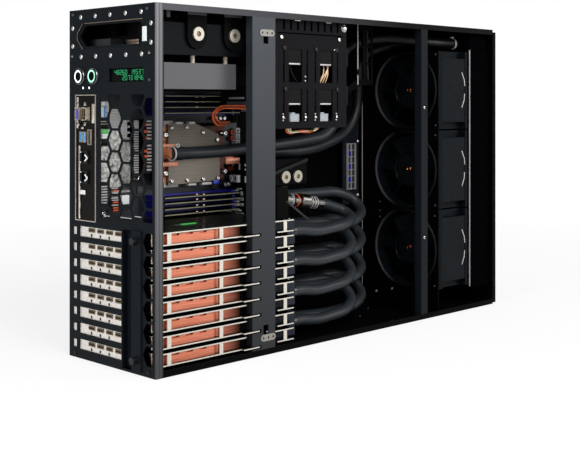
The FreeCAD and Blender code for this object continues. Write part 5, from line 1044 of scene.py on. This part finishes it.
# Fan wall, top and floor: small bright screws, a painted highlight on the far edge of the wall and two tabs under the
# top
screws("fan_wall_low_screws", [(WALL_X, 126.6, 22), (WALL_X, 94.2, 29.5)], 1.7, 1.2, REAR, material=bare_metal_and_highlights)
screws("top_wall_screw", [(619.3, 28.6, 437.5)], 1.8, 1.2, DOWN)
finish(slabs([((542.9, 543.7), (156, 157.2), (30, 400))], REAR, 0.2, 0.1), "fan_wall_edge_highlight", bare_metal_and_highlights)
TABS = [((40.4, 45.7), (30, 31.5), (425.8, 437.6)), ((139.4, 149), (30, 31.5), (427.2, 437.6))]
finish(slabs(TABS, OPEN, 0.6, 0.3), "top_wall_tabs", grey_epoxy)
FLOOR_Z = 1.5
FLOOR_SCREWS = [(447.5, 78.2, FLOOR_Z), (451.6, 18.7, FLOOR_Z), (501.7, 108.6, FLOOR_Z)]
screws("floor_screws", FLOOR_SCREWS, 1.9, 1.4, UP)

# Radiator: the folded edge of its side plate catches the light
trim = panel((0.8, 1.8, 372), REAR, 0.4)
finish(spread(trim, [(630.6, 9, 219)]), "radiator_edge_trim", bare_metal_and_highlights)


# Stage: a white floor, a white surround and soft lamps

# How far from the part, in metres, the floor goes from a pale shade to white, and that shade
SHADE_NEAR = 0.45
SHADE_FAR = 1.6
PALE_SHADE = 0.8


def white_stage(material):
    """White to the camera, in reflections and through glass, and a pale diffuse surface to other rays."""
    material.use_nodes = True
    tree = material.node_tree
    tree.nodes.clear()
    path = add(tree, "LightPath")
    seen = add(tree, "Math", {"operation": "MAXIMUM"},
               {0: path.outputs["Is Camera Ray"], 1: path.outputs["Is Glossy Ray"]})
    any_seen = add(tree, "Math", {"operation": "MAXIMUM"},
                   {0: seen.outputs["Value"], 1: path.outputs["Is Transmission Ray"]})
    place = add(tree, "TexCoord")
    away = add(tree, "VectorMath", {"operation": "LENGTH"}, {0: place.outputs["Object"]})
    shade = add(tree, "MapRange",
                {"From Min": SHADE_NEAR, "From Max": SHADE_FAR, "To Min": PALE_SHADE, "To Max": 1.0},
                {"Value": away.outputs["Value"]})
    share = add(tree, "Math", {"operation": "MULTIPLY"}, {0: any_seen.outputs["Value"], 1: shade.outputs["Result"]})
    pale = add(tree, "BsdfDiffuse", {"Color": linear("#F4F4F4")})
    glow = add(tree, "Emission", {"Color": (1, 1, 1, 1), "Strength": 1.0})
    mix = add(tree, "MixShader", None,
              {0: share.outputs["Value"], 1: pale.outputs["BSDF"], 2: glow.outputs["Emission"]})
    add(tree, "OutputMaterial", None, {"Surface": mix.outputs["Shader"]})
    return material


deselect()
bpy.ops.mesh.primitive_plane_add(size=30, location=(0, 0, -0.0005))
floor = bpy.context.object
floor.name = "studio_floor"
floor.data.materials.append(white_stage(bpy.data.materials.new("studio_paper_white")))

scene = bpy.context.scene
scene.view_settings.view_transform = "Standard"
world = bpy.data.worlds.new("studio_surround")
scene.world = world
world.use_nodes = True
tree = world.node_tree
tree.nodes.clear()
path = add(tree, "LightPath")
fill = add(tree, "Background", {"Color": linear("#FFFFFF"), "Strength": 0.35})
white = add(tree, "Background", {"Color": (1, 1, 1, 1), "Strength": 1.0})
either = add(tree, "Math", {"operation": "MAXIMUM"},
             {0: path.outputs["Is Camera Ray"], 1: path.outputs["Is Transmission Ray"]})
backdrop = add(tree, "MixShader", None,
               {0: either.outputs["Value"], 1: fill.outputs["Background"], 2: white.outputs["Background"]})
add(tree, "OutputWorld", None, {"Surface": backdrop.outputs["Shader"]})


def lamp(name, place, target, size, power):
    """A soft box: a square area lamp aimed at a point."""
    data = bpy.data.lights.new(name, "AREA")
    data.size = size
    data.energy = power
    holder = bpy.data.objects.new(name, data)
    scene.collection.objects.link(holder)
    holder.location = place
    holder.rotation_euler = (Vector(target) - Vector(place)).to_track_quat("-Z", "Y").to_euler()


lamp("soft_box_key", (-0.6, -2.2, 1.9), (0, 0, 0.2), 1.4, 60)
lamp("soft_box_rear_side", (-2.4, -0.3, 1.0), (-0.2, 0, 0.2), 1.2, 30)
lamp("soft_box_open_side", (1.5, -2.2, 0.9), (0.1, 0, 0.2), 1.2, 30)

camera_data = bpy.data.cameras.new("photo_camera")
camera_data.sensor_width = 36
camera_data.lens = 67.76
camera_data.shift_y = -0.2188
camera_data.clip_start = 0.01
camera = bpy.data.objects.new("photo_camera", camera_data)
scene.collection.objects.link(camera)
camera.location = (-1.12835, -1.09428, 0.32157)
camera.rotation_euler = (math.radians(90), 0, math.radians(-45.084))
scene.camera = camera

bpy.context.view_layer.update()
